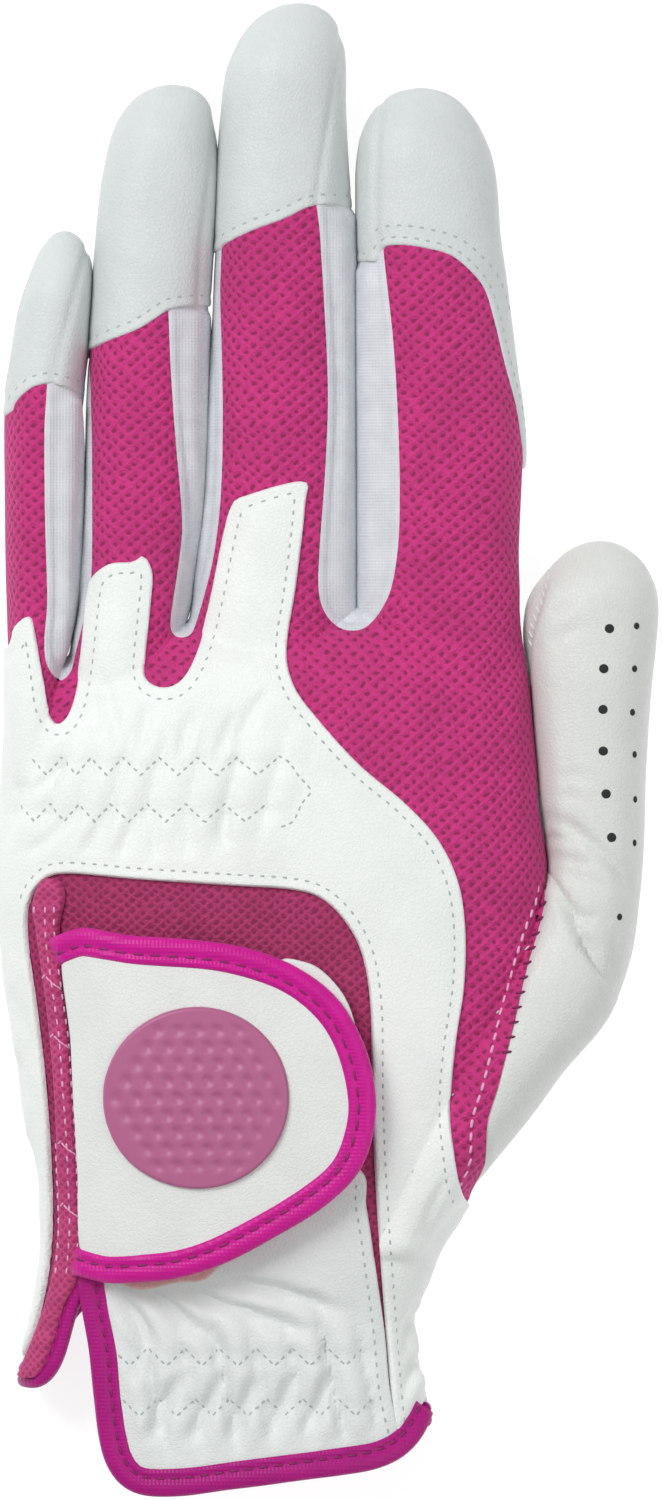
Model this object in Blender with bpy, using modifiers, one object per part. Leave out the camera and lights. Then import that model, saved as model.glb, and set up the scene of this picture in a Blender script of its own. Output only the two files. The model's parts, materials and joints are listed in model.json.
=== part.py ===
"""Left-hand golf glove lying palm down: fingers along +Y, thumb at +X, back of the hand up.

Every panel is a thin shell lofted on the glove's own cross-sections. Lengths below are in
millimetres and are turned into metres where the vertices are made. The origin is on the
ground, under the middle of the glove.
"""
import math

import bmesh
import bpy
import numpy as np

MM = 0.001

# Material thicknesses and clearances
SKIN = 0.8
TAPE = 0.9
BINDING = 1.9
CLEAR = 0.3
LAYER_CLEAR = 0.7

# The hand part: half-breadth profile, height profile and the shape of its cross-section
HAND_POWER = 2.5
DIGIT_POWER = 2.2
MID_HEIGHT = 0.42
FLAT_SINK = 1.2

HAND_LEFT = (
    (-108, -40), (-93, -45.2), (-80, -43), (-72, -41.8), (-50, -44.5), (-35, -46.5), (-20, -47.7),
    (23, -46.9),
)
CUFF_RIGHT = ((-108, 7), (-99, 13), (-92, 12.8), (-84, 12.2), (-76, 14), (-66, 19.6), (-54, 29), (-40, 40))
HAND_RIGHT = (*CUFF_RIGHT, (-32, 43.3), (-22, 44.6), (-19, 29.4), (23, 29))
BACK_RIGHT = (*CUFF_RIGHT, (-30, 41), (-18, 35), (-8, 30), (23, 29.2))
HAND_TOP = ((-108, 15), (-92, 16), (-66, 20.5), (-8, 20.5), (10, 17), (23, 15.5))
KNIT_RIGHT = ((-66, 18), (-54, 21.8), (-43, 25), (-30, 28.2), (-18, 28), (0, 26), (23, 25.5))

# Each finger: where it starts and ends, its two hinges, its leather cap, widths and depth
ROOT_Y = 10.0
CENTRE = (-0.5, 0.2)
FINGERS = {
    "pinky": dict(
        base_x=-42.6, tip=(-39.6, 75.4), hinges=(21, 42), cap=52,
        width=(10.2, 9.4), depth=13.5, webs=("right",),
    ),
    "ring": dict(
        base_x=-28.2, tip=(-23.7, 96.4), hinges=(27, 50), cap=60,
        width=(17.0, 14.8), depth=14, webs=("left", "right"),
    ),
    "middle": dict(
        base_x=-8.2, tip=(-5.6, 108.2), hinges=(31, 60), cap=74,
        width=(20.4, 17.2), depth=14.5, webs=("left", "right"),
    ),
    "index": dict(
        base_x=15.8, tip=(13.4, 95.8), hinges=(31, 56), cap=70,
        width=(22.8, 18.8), depth=14.5, webs=("left",),
    ),
}
THUMB = dict(base_x=38.0, tip=(39.2, 30.5), hinges=(-16, 9), width=(15.4, 17.4), depth=14)
THUMB_PIVOT_X = 31.0
THUMB_NOTCH = math.tan(math.radians(19))
HAND_FRONT = ((-48, 13.8), (-42, 14.4), (-27, 21), (-8, 25.2), (29, 25.2))

WEBS = (("web_pinky_ring", -36.2, 14.6), ("web_ring_middle", -18.4, 19.6), ("web_middle_index", 3.1, 22.6))

BASE_SLANT = math.tan(math.radians(25))
MIDDLE_NOTCH = math.tan(math.radians(36.5))

# Angles round a cross-section, in degrees: 0 at +X, 90 on top, 180 at -X, 270 underneath
TOP_EDGE = 38
DIGIT_SEAM = 60
HAND_SEAM = 0.9
HAND_SIDE = 151

# The closing tab
TAB_ROOT = ((-76, -35.9), (-27, -39.2))
TAB_MIDDLE_Y = -51.3
TAB_HALF = 20.2
TAB_REACH = 1.3
TAB_POWER = 2.5
TAB_EDGE = 3.9
TAB_LIFT = 4.6
TAB_THICK = 1.2
EMBLEM = (-19.1, -48.4, 12.9)

COLOURS = {
    "leather": ((0.78, 0.81, 0.79), 0.5),
    "knit": ((0.55, 0.05, 0.19), 0.8),
    "lycra": ((0.72, 0.72, 0.76), 0.7),
    "piping": ((0.62, 0.02, 0.3), 0.55),
    "tape": ((0.82, 0.7, 0.66), 0.9),
    "rubber": ((0.4, 0.1, 0.22), 0.6),
    "elastic": ((0.86, 0.86, 0.86), 0.8),
}


def clear_scene():
    for old in list(bpy.data.objects):
        bpy.data.objects.remove(old, do_unlink=True)


def make_material(name):
    colour, roughness = COLOURS[name]
    material = bpy.data.materials.new(name)
    material.use_nodes = True
    shader = material.node_tree.nodes["Principled BSDF"]
    shader.inputs["Base Color"].default_value = (*colour, 1.0)
    shader.inputs["Roughness"].default_value = roughness
    shader.inputs["Metallic"].default_value = 0.0
    return material


def along(profile, at):
    """The value of a profile, given as (place, value) pairs, at one place."""
    places, values = zip(*profile)
    return float(np.interp(at, places, values))


def signed_power(value, power):
    return math.copysign(abs(value) ** power, value)


def ring_point(left, right, low, top, degrees, power, lift):
    """A point of a rounded cross-section that is flat where it would pass below the ground."""
    angle = math.radians(degrees)
    middle = low + MID_HEIGHT * (top - low)
    reach = (right - left) / 2 + lift
    up, down = top - middle + lift, middle - low + lift
    x = (left + right) / 2 + reach * signed_power(math.cos(angle), 2 / power)
    rise = signed_power(math.sin(angle), 2 / power)
    z = middle + rise * (up if rise > 0 else down)
    return x, max(z, 0.0)


def hand_point(degrees, y, lift=0.0, right=HAND_RIGHT):
    x, z = ring_point(
        along(HAND_LEFT, y), along(right, y), -FLAT_SINK, along(HAND_TOP, y), degrees, HAND_POWER, lift
    )
    return x, y, z


def back_point(degrees, y, lift=0.0):
    return hand_point(degrees, y, lift, BACK_RIGHT)


def back_angle(x, y, right=BACK_RIGHT):
    """The angle at which the back of the hand passes over a given x."""
    low, high = along(HAND_LEFT, y), along(right, y)
    share = (x - (low + high) / 2) / ((high - low) / 2)
    share = min(max(share, -0.999), 0.999)
    return math.degrees(math.acos(signed_power(share, HAND_POWER / 2)))


def over_back(x, y, lift):
    """The point straight above (x, y) on the back of the hand."""
    _, _, z = back_point(back_angle(x, y), y, lift)
    return x, y, z


def digit_point(digit, degrees, y, lift=0.0):
    """A point of a finger or thumb, whose tip closes in an elliptical dome."""
    tip_x, tip_y = digit["tip"]
    share = (y - ROOT_Y) / (tip_y - ROOT_Y)
    middle_x = digit["base_x"] + (tip_x - digit["base_x"]) * share
    width = digit["width"][0] + (digit["width"][1] - digit["width"][0]) * share
    dome = 0.62 * width
    into = max(0.0, (y - (tip_y - dome)) / dome)
    shrink = math.sqrt(max(0.0, 1.0 - into * into))
    half, depth = width / 2 * shrink, digit["depth"]
    middle_z = MID_HEIGHT * depth
    low = middle_z + (-FLAT_SINK - middle_z) * shrink
    top = middle_z + (depth - middle_z) * shrink
    x, z = ring_point(middle_x - half, middle_x + half, low, top, degrees, DIGIT_POWER, lift)
    return x, y, z


def digit_height(digit):
    return MID_HEIGHT * digit["depth"]


def metres(point):
    """A design point in millimetres as a place in the scene."""
    return (point[0] - CENTRE[0]) * MM, (point[1] - CENTRE[1]) * MM, point[2] * MM


def new_object(name, mesh, material, body):
    made = bpy.data.objects.new(name, mesh)
    made.data.materials.append(material)
    collection.objects.link(made)
    made.parent = body
    made.matrix_parent_inverse = body.matrix_world.inverted()
    return made


def adopt(made, material, body):
    """Puts an object made by an operator in the glove's collection and on its body."""
    made.data.materials.append(material)
    for old in list(made.users_collection):
        old.objects.unlink(made)
    collection.objects.link(made)
    bpy.context.view_layer.update()
    made.parent = body
    made.matrix_parent_inverse = body.matrix_world.inverted()


def shell(name, material, body, point, rows, columns, thickness=SKIN, closed=False, tip=None):
    """Lofts an open surface from point(row share, column share) and thickens it inwards."""
    bm = bmesh.new()
    count = columns if closed else columns + 1
    grid = []
    for i in range(rows + 1):
        ring = [point(i / rows, j / columns) for j in range(count)]
        grid.append([bm.verts.new(metres(p)) for p in ring])
    for i in range(rows):
        for j in range(columns):
            k = (j + 1) % count
            bm.faces.new((grid[i][j], grid[i + 1][j], grid[i + 1][k], grid[i][k]))
    if tip:
        pole = bm.verts.new(metres(tip))
        for j in range(columns):
            bm.faces.new((grid[-1][j], pole, grid[-1][(j + 1) % count]))
    mesh = bpy.data.meshes.new(name)
    bm.to_mesh(mesh)
    bm.free()
    made = new_object(name, mesh, material, body)
    solid = made.modifiers.new("thickness", "SOLIDIFY")
    solid.thickness = thickness * MM
    solid.offset = -1.0
    mesh.shade_smooth()
    return made


def hand_panel(name, look, body, angles, stations, columns, lift=0.0, thickness=SKIN, surface=hand_point):
    """A panel of the hand between two angles, each a function of y.

    Its rows lie at the stations: y values, or functions of the share across the panel.
    """
    last = len(stations) - 1

    def point(v, u):
        station = stations[round(v * last)]
        y = station(u) if callable(station) else station
        low, high = angles[0](y), angles[1](y)
        return surface(low + (high - low) * u, y, lift)

    return shell(name, looks[look], body, point, last, columns, thickness)


def back_band(name, look, body, edges, stations, columns, lift, thickness=SKIN):
    """A panel on the back of the hand between two edges, each giving x for y, from right to left."""
    angles = [lambda y, edge=edge: back_angle(edge(y), y) for edge in edges]
    return hand_panel(name, look, body, angles, stations, columns, lift, thickness, back_point)


def digit_panel(name, material, body, digit, angles, ends, rows, columns):
    """A strip of a finger between two angles, whose ends may slant with the height."""

    def point(v, u):
        degrees = angles[0] + (angles[1] - angles[0]) * u
        middle_y = (ends[0](0.0) + ends[1](0.0)) / 2
        height = digit_point(digit, degrees, middle_y)[2] - digit_height(digit)
        start, end = ends[0](height), ends[1](height)
        return digit_point(digit, degrees, start + (end - start) * v)

    return shell(name, material, body, point, rows, columns)


def pivot(name, place, parent=None):
    """An empty on a joint's axis, which carries the pieces that turn about it."""
    empty = bpy.data.objects.new(name, None)
    collection.objects.link(empty)
    empty.location = metres(place)
    bpy.context.view_layer.update()
    if parent:
        empty.parent = parent
        empty.matrix_parent_inverse = parent.matrix_world.inverted()
        bpy.context.view_layer.update()
    return empty


def slanted(y, slope):
    return lambda height: y - height * slope


def notched(y, direction):
    """An end that meets its neighbour above the hinge and opens in a V below it."""
    return lambda height: y + direction * (CLEAR + max(0.0, -height) * MIDDLE_NOTCH)


def level(y):
    return lambda height: y


def strip_angles(webs, seam):
    """The angles of the knit back, the leather front and the stretch side walls of a finger."""
    right = 360 - TOP_EDGE if "right" in webs else 360 + TOP_EDGE
    left = 180 + TOP_EDGE if "left" in webs else 180 - TOP_EDGE
    strips = {
        "knit": (TOP_EDGE + seam, 180 - TOP_EDGE - seam),
        "palm": (left + seam, right - seam),
    }
    if "right" in webs:
        strips["web_right"] = (seam - TOP_EDGE, TOP_EDGE - seam)
    if "left" in webs:
        strips["web_left"] = (180 - TOP_EDGE + seam, 180 + TOP_EDGE - seam)
    return strips


STRIP_LOOKS = {
    "knit": ("knit", 6), "palm": ("leather", 6), "web_right": ("lycra", 3), "web_left": ("lycra", 3),
}


def make_finger(name, digit, root):
    base_y, middle_y = digit["hinges"]
    height = digit_height(digit)
    lower = pivot(f"{name}_base_axis", (digit["base_x"], base_y, height), root)
    upper = pivot(f"{name}_middle_axis", (digit["base_x"], middle_y, height), lower)
    lower_ends = (slanted(base_y + CLEAR, BASE_SLANT), notched(middle_y, -1))
    upper_ends = (notched(middle_y, 1), level(digit["cap"] - CLEAR))
    for strip, angles in strip_angles(digit["webs"], DIGIT_SEAM / digit["width"][0]).items():
        look, columns = STRIP_LOOKS[strip]
        digit_panel(f"{name}_{strip}_lower", looks[look], lower, digit, angles, lower_ends, 3, columns)
        digit_panel(f"{name}_{strip}_upper", looks[look], upper, digit, angles, upper_ends, 2, columns)
    make_tip(f"{name}_cap", looks["leather"], upper, digit, level(digit["cap"]), 5, 14)


def make_tip(name, material, body, digit, start, rows, columns):
    """A closed thimble from its mouth to the rounded tip."""
    tip_x, tip_y = digit["tip"]

    def point(v, u):
        degrees = 360 * u
        mouth = start(digit_point(digit, degrees, start(0.0))[2] - digit_height(digit))
        share = math.sin(v * math.pi / 2 * 0.94)
        return digit_point(digit, degrees, mouth + (tip_y - mouth) * share)

    shell(name, material, body, point, rows, columns, closed=True, tip=(tip_x, tip_y, digit_height(digit)))


def make_thumb(root):
    base_y, middle_y = THUMB["hinges"]
    height = digit_height(THUMB)
    lower = pivot("thumb_base_axis", (THUMB_PIVOT_X, base_y, height), root)
    upper = pivot("thumb_middle_axis", (THUMB["base_x"], middle_y, height), lower)
    end = notched(middle_y, -1)

    def tube(v, u):
        degrees = 360 * u
        x, _, z = digit_point(THUMB, degrees, base_y)
        start = base_y + 1.0 + max(0.0, x - THUMB_PIVOT_X) * THUMB_NOTCH
        stop = end(z - height)
        return digit_point(THUMB, degrees, start + (stop - start) * v)

    shell("thumb_lower", looks["leather"], lower, tube, 4, 16, closed=True)
    make_tip("thumb_upper", looks["leather"], upper, THUMB, notched(middle_y, 1), 6, 16)


def hand_front(u, angles):
    """The front edge of the hand part, which follows the roots of the fingers."""
    degrees = angles[0](0.0) + (angles[1](0.0) - angles[0](0.0)) * u
    return along(HAND_FRONT, hand_point(degrees, 15.0)[0])


def hem_line(x):
    return along(((-36, -106.3), (-22, -107.9), (4, -105.6), (12.5, -101)), x)


def thumb_side_angle(y):
    """Where the palm leather stops on the thumb side: low along the thumb, high elsewhere."""
    return along(((-69, 381), (-66, 318), (-19, 318), (-15.5, 381)), y)


def slit_side_angle(y):
    """Where the palm leather stops on the little finger's side: lower down beside the slit."""
    return along(((-79, 166), (-76, HAND_SIDE + HAND_SEAM)), y)


def knit_right(y):
    return along(KNIT_RIGHT, y)


def thumb_front(u):
    """The slanted front edge of the thumb's fixed part, which leaves the thumb room to spread."""
    x = hand_point(-40 + 95 * u, -24)[0]
    return THUMB["hinges"][0] - 4.0 - max(0.0, x - THUMB_PIVOT_X) * THUMB_NOTCH


def wrist_slit(y):
    return along(((-104, -33.6), (-87, -34.6), (-66, -37.5)), y)


def make_hand(root):
    palm_angles = (slit_side_angle, thumb_side_angle)
    palm_stations = (
        -94.5, -84, -79, -76, -69, -66, -54, -40, -32, -22, -19, -15.5, 0,
        lambda u: hand_front(u, palm_angles),
    )
    hand_panel("palm_leather", "leather", root, palm_angles, palm_stations, 26)
    knit_angles = (lambda y: back_angle(knit_right(y), y), lambda y: HAND_SIDE - HAND_SEAM)
    knit_stations = (-65.5, -54, -40, -30, -18, -8, 2, 10, lambda u: hand_front(u, knit_angles))
    hand_panel("back_knit", "knit", root, knit_angles, knit_stations, 26, surface=back_point)
    thumb_angles = (lambda y: -37.5, lambda y: back_angle(knit_right(y) + 1.4, y))
    hand_panel("thumb_base", "leather", root, thumb_angles, (-65.2, -54, -40, -32, thumb_front), 8)


def make_cuff(root):
    """The panel under the tab, the bound hems of the mouth and the bound edges of the slit."""
    wrist_angles = (lambda y: 24.5, lambda y: back_angle(wrist_slit(y), y))

    def hem(rise):
        def line(u):
            degrees = wrist_angles[0](-100) * (1 - u) + wrist_angles[1](-100) * u
            return hem_line(back_point(degrees, -100)[0]) + rise

        return line

    hand_panel(
        "wrist_panel", "leather", root, wrist_angles, (hem(4.6), -94, -84, -76, -66), 14, surface=back_point
    )
    hand_panel(
        "cuff_binding_back", "piping", root, wrist_angles, (hem(0.0), hem(4.0)), 14,
        thickness=BINDING, surface=back_point,
    )
    hand_panel(
        "cuff_binding_palm", "piping", root, (slit_side_angle, thumb_side_angle), (-98.4, -95), 20,
        thickness=BINDING,
    )
    slit = (lambda y: wrist_slit(y) - 0.7, lambda y: wrist_slit(y) - 3.4)
    back_band("slit_binding_back", "piping", root, slit, (-102, -94, -84, -79), 2, 0.4, BINDING)
    slit_angles = (lambda y: 152.0, lambda y: 163.5)
    hand_panel(
        "slit_binding_palm", "piping", root, slit_angles, (-94.3, -87, -80), 2, 0.4, BINDING,
    )


def make_overlay(root):
    """The leather yoke over the knit: three prongs to the fingers and a leg to the wrist."""
    left, right, leg_left = 164.0, 17.2, 6.6
    front = (
        (-46.5, 11), (-44, 12.5), (-42, 11), (-40, 3.5), (-36.8, 8), (-34.5, 17), (-28, 19), (-26.4, 10),
        (-21.5, 10), (-18.5, 17), (-15.5, 22), (-5.8, 23.5), (-5.2, 12), (-1.5, 4), (4, -2), (10, -7),
        (15, -12.5), (17.2, -20),
    )

    def point(v, u):
        degrees = left + (back_angle(right, -20) - left) * (1 - u)
        x = back_point(degrees, -20)[0]
        back = along(((leg_left - 0.8, -17.6), (leg_left, -62)), x)
        y = back + (along(front, x) - back) * v
        return back_point(degrees, y, LAYER_CLEAR + SKIN)

    shell("back_overlay", looks["leather"], root, point, 8, 34)


def make_bands(root):
    """The elastics sewn inside, the loop field and the strip at the tab's root."""
    inside = -SKIN - LAYER_CLEAR
    edges = (lambda y: 8, lambda y: -43)
    back_band("knuckle_elastic", "elastic", root, edges, (-12, -8, 0), 12, inside)
    edges = (lambda y: 6, lambda y: -27)
    back_band("wrist_elastic", "elastic", root, edges, (-97, -92, -85), 8, inside)
    edges = (lambda y: -2, lambda y: -33)
    back_band("loop_tape", "tape", root, edges, (-63, -54, -40, -34), 8, LAYER_CLEAR + TAPE, TAPE)
    edges = (lambda y: tab_root(y) - 1.0, lambda y: tab_root(y) - 4.2)
    back_band("tab_root_strip", "knit", root, edges, (-76, -66, -54, -40, -28), 3, LAYER_CLEAR + SKIN)


def make_label(root):
    """The blank size label inside the wrist, on the palm leather."""
    width, length, thickness = 22.0, 11.0, 0.5
    place = (-12.0, -82.0, SKIN + CLEAR + thickness / 2)
    bpy.ops.mesh.primitive_cube_add(size=MM, location=metres(place))
    made = bpy.context.object
    made.name = "inner_label"
    made.scale = (width, length, thickness)
    bpy.ops.object.transform_apply(location=False, scale=True)
    adopt(made, looks["elastic"], root)


def make_web(name, x, y, root):
    """The U of stretch cloth at the bottom of the gap between two fingers."""
    radius, low, top = 1.8, 2.4, 9.2

    def point(v, u):
        angle = math.radians(180 * u)
        return x - radius * math.cos(angle), y - radius * math.sin(angle), low + (top - low) * v

    shell(name, looks["lycra"], root, point, 1, 8)


def tab_root(y):
    return along(TAB_ROOT, y)


def tab_edge(share, grow):
    """A point on the tab's outline: from its lower root corner, round the free end, to the upper one."""
    angle = math.radians(-90 + 180 * share)
    y = TAB_MIDDLE_Y + (TAB_HALF + grow) * signed_power(math.sin(angle), 2 / TAB_POWER)
    start = tab_root(y)
    x = start + (TAB_REACH + grow - start) * max(0.0, math.cos(angle)) ** (2 / TAB_POWER)
    return x, y


def make_tab(root):
    middle = (tab_root(TAB_MIDDLE_Y), TAB_MIDDLE_Y)
    hinge = over_back(*middle, TAB_LIFT - 0.6)
    tab = pivot("tab_axis", hinge, root)

    def sheet(grow, lift, inset=0.0):
        def point(v, u):
            x, y = tab_edge(v, grow)
            start = tab_root(y) + inset
            return over_back(start + (max(x, start + 0.4) - start) * (1 - u), y, lift)

        return point

    shell("tab_panel", looks["leather"], tab, sheet(0.0, TAB_LIFT, 0.6), 14, 8, thickness=TAB_THICK)

    def hook(v, u):
        return over_back(-31 + 24 * (1 - u), -62 + 22 * v, TAB_LIFT - TAB_THICK - CLEAR - 0.2)

    shell("hook_tape", looks["tape"], tab, hook, 4, 6, thickness=0.7)

    def rim(v, u):
        near, far = tab_edge(v, 0.35), tab_edge(v, 0.35 + TAB_EDGE)
        share = 1 - u
        x = near[0] + (far[0] - near[0]) * share
        y = near[1] + (far[1] - near[1]) * share
        return over_back(max(x, tab_root(y) + 0.6), y, TAB_LIFT + 0.5)

    shell("tab_binding", looks["piping"], tab, rim, 24, 2, thickness=2.2)
    make_emblem(tab)


def make_emblem(tab):
    """A plain round badge that follows the tab's curve."""
    x, y, radius = EMBLEM
    low, high = 0.6, 1.5
    bpy.ops.mesh.primitive_cylinder_add(vertices=32, radius=radius * MM, depth=MM)
    made = bpy.context.object
    made.name = "tab_emblem"
    for vertex in made.data.vertices:
        side_x, side_y = x + vertex.co.x / MM, y + vertex.co.y / MM
        top = over_back(side_x, side_y, TAB_LIFT)[2]
        vertex.co = metres((side_x, side_y, top + (high if vertex.co.z > 0 else low)))
    adopt(made, looks["rubber"], tab)


def make_glove():
    root = pivot("glove", (*CENTRE, 0))
    make_hand(root)
    make_cuff(root)
    make_overlay(root)
    make_bands(root)
    make_label(root)
    for name, x, y in WEBS:
        make_web(name, x, y, root)
    for name, digit in FINGERS.items():
        make_finger(name, digit, root)
    make_thumb(root)
    make_tab(root)


clear_scene()
collection = bpy.data.collections.new("golf_glove")
bpy.context.scene.collection.children.link(collection)
looks = {name: make_material(name) for name in COLOURS}
make_glove()
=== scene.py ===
"""Looks of the left-hand golf glove: soft skin, sewn panels, stitches and materials.

Design lengths are millimetres in the glove's own outline, whose middle lies at CENTRE; they
become metres where a mesh is made. +Y runs to the fingertips, +X to the thumb.
"""
import json
import math

import bpy
import numpy as np
from mathutils import Vector
from mathutils.bvhtree import BVHTree
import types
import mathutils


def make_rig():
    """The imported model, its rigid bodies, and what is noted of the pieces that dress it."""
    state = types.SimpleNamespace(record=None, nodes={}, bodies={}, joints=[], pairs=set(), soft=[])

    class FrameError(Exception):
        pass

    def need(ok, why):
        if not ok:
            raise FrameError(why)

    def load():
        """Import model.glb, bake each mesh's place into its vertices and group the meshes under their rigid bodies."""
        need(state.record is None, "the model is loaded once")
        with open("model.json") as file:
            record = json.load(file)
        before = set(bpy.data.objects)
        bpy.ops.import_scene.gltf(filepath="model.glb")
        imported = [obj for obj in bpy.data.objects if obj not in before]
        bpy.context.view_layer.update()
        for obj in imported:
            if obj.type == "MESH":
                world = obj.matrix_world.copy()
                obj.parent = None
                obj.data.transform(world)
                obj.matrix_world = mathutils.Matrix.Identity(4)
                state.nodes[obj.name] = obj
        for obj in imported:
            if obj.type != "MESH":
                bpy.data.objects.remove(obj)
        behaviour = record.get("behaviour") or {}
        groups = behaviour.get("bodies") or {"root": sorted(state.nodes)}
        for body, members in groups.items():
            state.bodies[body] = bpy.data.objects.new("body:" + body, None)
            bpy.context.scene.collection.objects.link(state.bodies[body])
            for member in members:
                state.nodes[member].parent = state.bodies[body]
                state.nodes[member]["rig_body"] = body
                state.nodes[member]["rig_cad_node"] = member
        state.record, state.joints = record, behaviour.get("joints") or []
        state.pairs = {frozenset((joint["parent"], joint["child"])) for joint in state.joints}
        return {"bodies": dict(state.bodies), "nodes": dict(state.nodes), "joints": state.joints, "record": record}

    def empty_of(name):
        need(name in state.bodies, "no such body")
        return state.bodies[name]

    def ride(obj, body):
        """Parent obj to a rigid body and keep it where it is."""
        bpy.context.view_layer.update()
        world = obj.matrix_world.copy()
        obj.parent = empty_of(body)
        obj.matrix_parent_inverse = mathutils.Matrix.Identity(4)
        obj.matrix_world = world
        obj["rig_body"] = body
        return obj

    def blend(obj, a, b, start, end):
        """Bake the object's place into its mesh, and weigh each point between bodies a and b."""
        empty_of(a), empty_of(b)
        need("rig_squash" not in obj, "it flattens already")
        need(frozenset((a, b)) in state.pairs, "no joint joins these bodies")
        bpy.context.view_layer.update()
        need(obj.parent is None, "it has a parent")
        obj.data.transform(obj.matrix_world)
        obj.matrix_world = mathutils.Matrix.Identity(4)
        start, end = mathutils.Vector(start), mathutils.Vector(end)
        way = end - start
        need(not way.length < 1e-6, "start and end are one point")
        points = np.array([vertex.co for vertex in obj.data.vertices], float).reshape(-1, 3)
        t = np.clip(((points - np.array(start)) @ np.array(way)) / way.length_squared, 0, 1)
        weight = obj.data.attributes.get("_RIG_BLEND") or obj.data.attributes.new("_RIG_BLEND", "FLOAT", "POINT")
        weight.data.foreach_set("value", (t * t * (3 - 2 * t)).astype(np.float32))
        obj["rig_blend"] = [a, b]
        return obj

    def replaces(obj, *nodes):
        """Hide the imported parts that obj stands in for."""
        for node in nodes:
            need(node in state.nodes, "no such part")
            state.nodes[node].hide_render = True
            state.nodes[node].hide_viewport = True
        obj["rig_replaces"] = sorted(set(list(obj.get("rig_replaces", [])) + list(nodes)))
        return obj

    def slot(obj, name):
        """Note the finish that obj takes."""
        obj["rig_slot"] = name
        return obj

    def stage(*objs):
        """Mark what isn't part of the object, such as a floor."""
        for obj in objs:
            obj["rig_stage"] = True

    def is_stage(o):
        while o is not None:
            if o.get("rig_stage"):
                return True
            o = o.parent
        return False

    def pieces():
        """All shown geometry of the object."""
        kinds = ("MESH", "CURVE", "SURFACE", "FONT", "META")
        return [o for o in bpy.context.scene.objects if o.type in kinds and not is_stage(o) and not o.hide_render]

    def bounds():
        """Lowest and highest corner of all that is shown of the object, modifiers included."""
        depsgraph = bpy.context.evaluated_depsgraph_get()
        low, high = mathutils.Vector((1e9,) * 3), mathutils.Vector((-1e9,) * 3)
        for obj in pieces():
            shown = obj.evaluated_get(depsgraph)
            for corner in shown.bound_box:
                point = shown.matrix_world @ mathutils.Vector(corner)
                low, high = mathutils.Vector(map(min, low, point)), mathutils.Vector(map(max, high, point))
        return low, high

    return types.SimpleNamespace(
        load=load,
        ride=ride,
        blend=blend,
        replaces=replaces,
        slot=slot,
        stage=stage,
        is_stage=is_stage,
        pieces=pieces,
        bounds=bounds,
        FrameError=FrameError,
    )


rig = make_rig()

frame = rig.load()
cad_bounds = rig.bounds()

MM = 0.001
CENTRE = np.array((-0.5, 0.2, 0.0))
VOXEL = 0.7      # the size of the triangles of the skin
INSET = 0.75     # how far the skin is shrunk while its parts are joined, so that narrow gaps stay open

# ---------------------------------------------------------------- curves and profiles


def spline(points, at):
    """A smooth curve without overshoot through (place, value) pairs."""
    x, v = (np.array(column, float) for column in zip(*points))
    step = np.diff(x)
    slope = np.diff(v) / step
    tangent = np.zeros_like(v)
    tangent[0], tangent[-1] = slope[0], slope[-1]
    both = slope[:-1] * slope[1:]
    total = slope[:-1] + slope[1:]
    tangent[1:-1] = np.where(both > 0, 2 * both / np.where(total == 0, 1, total), 0)
    at = np.clip(np.asarray(at, float), x[0], x[-1])
    i = np.clip(np.searchsorted(x, at) - 1, 0, len(step) - 1)
    t = (at - x[i]) / step[i]
    return (
        v[i] * (1 + 2 * t) * (1 - t) ** 2
        + tangent[i] * step[i] * t * (1 - t) ** 2
        + v[i + 1] * t * t * (3 - 2 * t)
        + tangent[i + 1] * step[i] * t * t * (t - 1)
    )


def smoothstep(low, high, value):
    """A smooth step from 0 at low to 1 at high."""
    t = np.clip((value - low) / (high - low), 0, 1)
    return t * t * (3 - 2 * t)


def bell(value, width):
    """1 at zero, falling to nothing on both sides within about twice the width."""
    return np.exp(-(value / width)**2)


def path_through(points, step=0.6, closed=False):
    """A Catmull-Rom path through points, with about one point every step."""
    p = np.array(points, float)
    if closed:
        p = np.vstack((p[-1], p, p[0], p[1]))
    else:
        p = np.vstack((2 * p[0] - p[1], p, 2 * p[-1] - p[-2]))
    made = []
    for i in range(1, len(p) - 2):
        a, b, c, d = p[i - 1:i + 3]
        count = max(1, int(round(np.linalg.norm(c - b) / step)))
        t = (np.arange(count) / count)[:, None]
        made.append(
            0.5 * (2 * b + (c - a) * t + (2 * a - 5 * b + 4 * c - d) * t**2 + (3 * b - a - 3 * c + d) * t**3)
        )
    if not closed:
        made.append(p[-2:-1])
    return np.vstack(made)


def closed_path(*points):
    return path_through(points, closed=True)


def unit(vectors):
    """Rows of vectors, each made one long."""
    return vectors / np.maximum(np.linalg.norm(vectors, axis=1, keepdims=True), 1e-12)


def lengths_along(path):
    """The distance of each point from the path's start, measured along it."""
    return np.concatenate(([0], np.cumsum(np.linalg.norm(np.diff(path, axis=0), axis=1))))


def sampled(at, along, values):
    """Rows of values, given at distances along a path, at other distances."""
    return np.stack([np.interp(at, along, column) for column in values.T], axis=1)


def even_places(along, pitch):
    """Distances along a path, in the middle of equal steps of about pitch."""
    count = max(1, int(along[-1] / pitch))
    return (np.arange(count) + 0.5) * along[-1] / count


def even_points(path, pitch):
    """Points and directions every pitch along a path."""
    along = lengths_along(path)
    at = even_places(along, pitch)
    way = sampled(at + 0.1, along, path) - sampled(at - 0.1, along, path)
    return sampled(at, along, path), unit(way)


# ---------------------------------------------------------------- the shape of the glove

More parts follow.
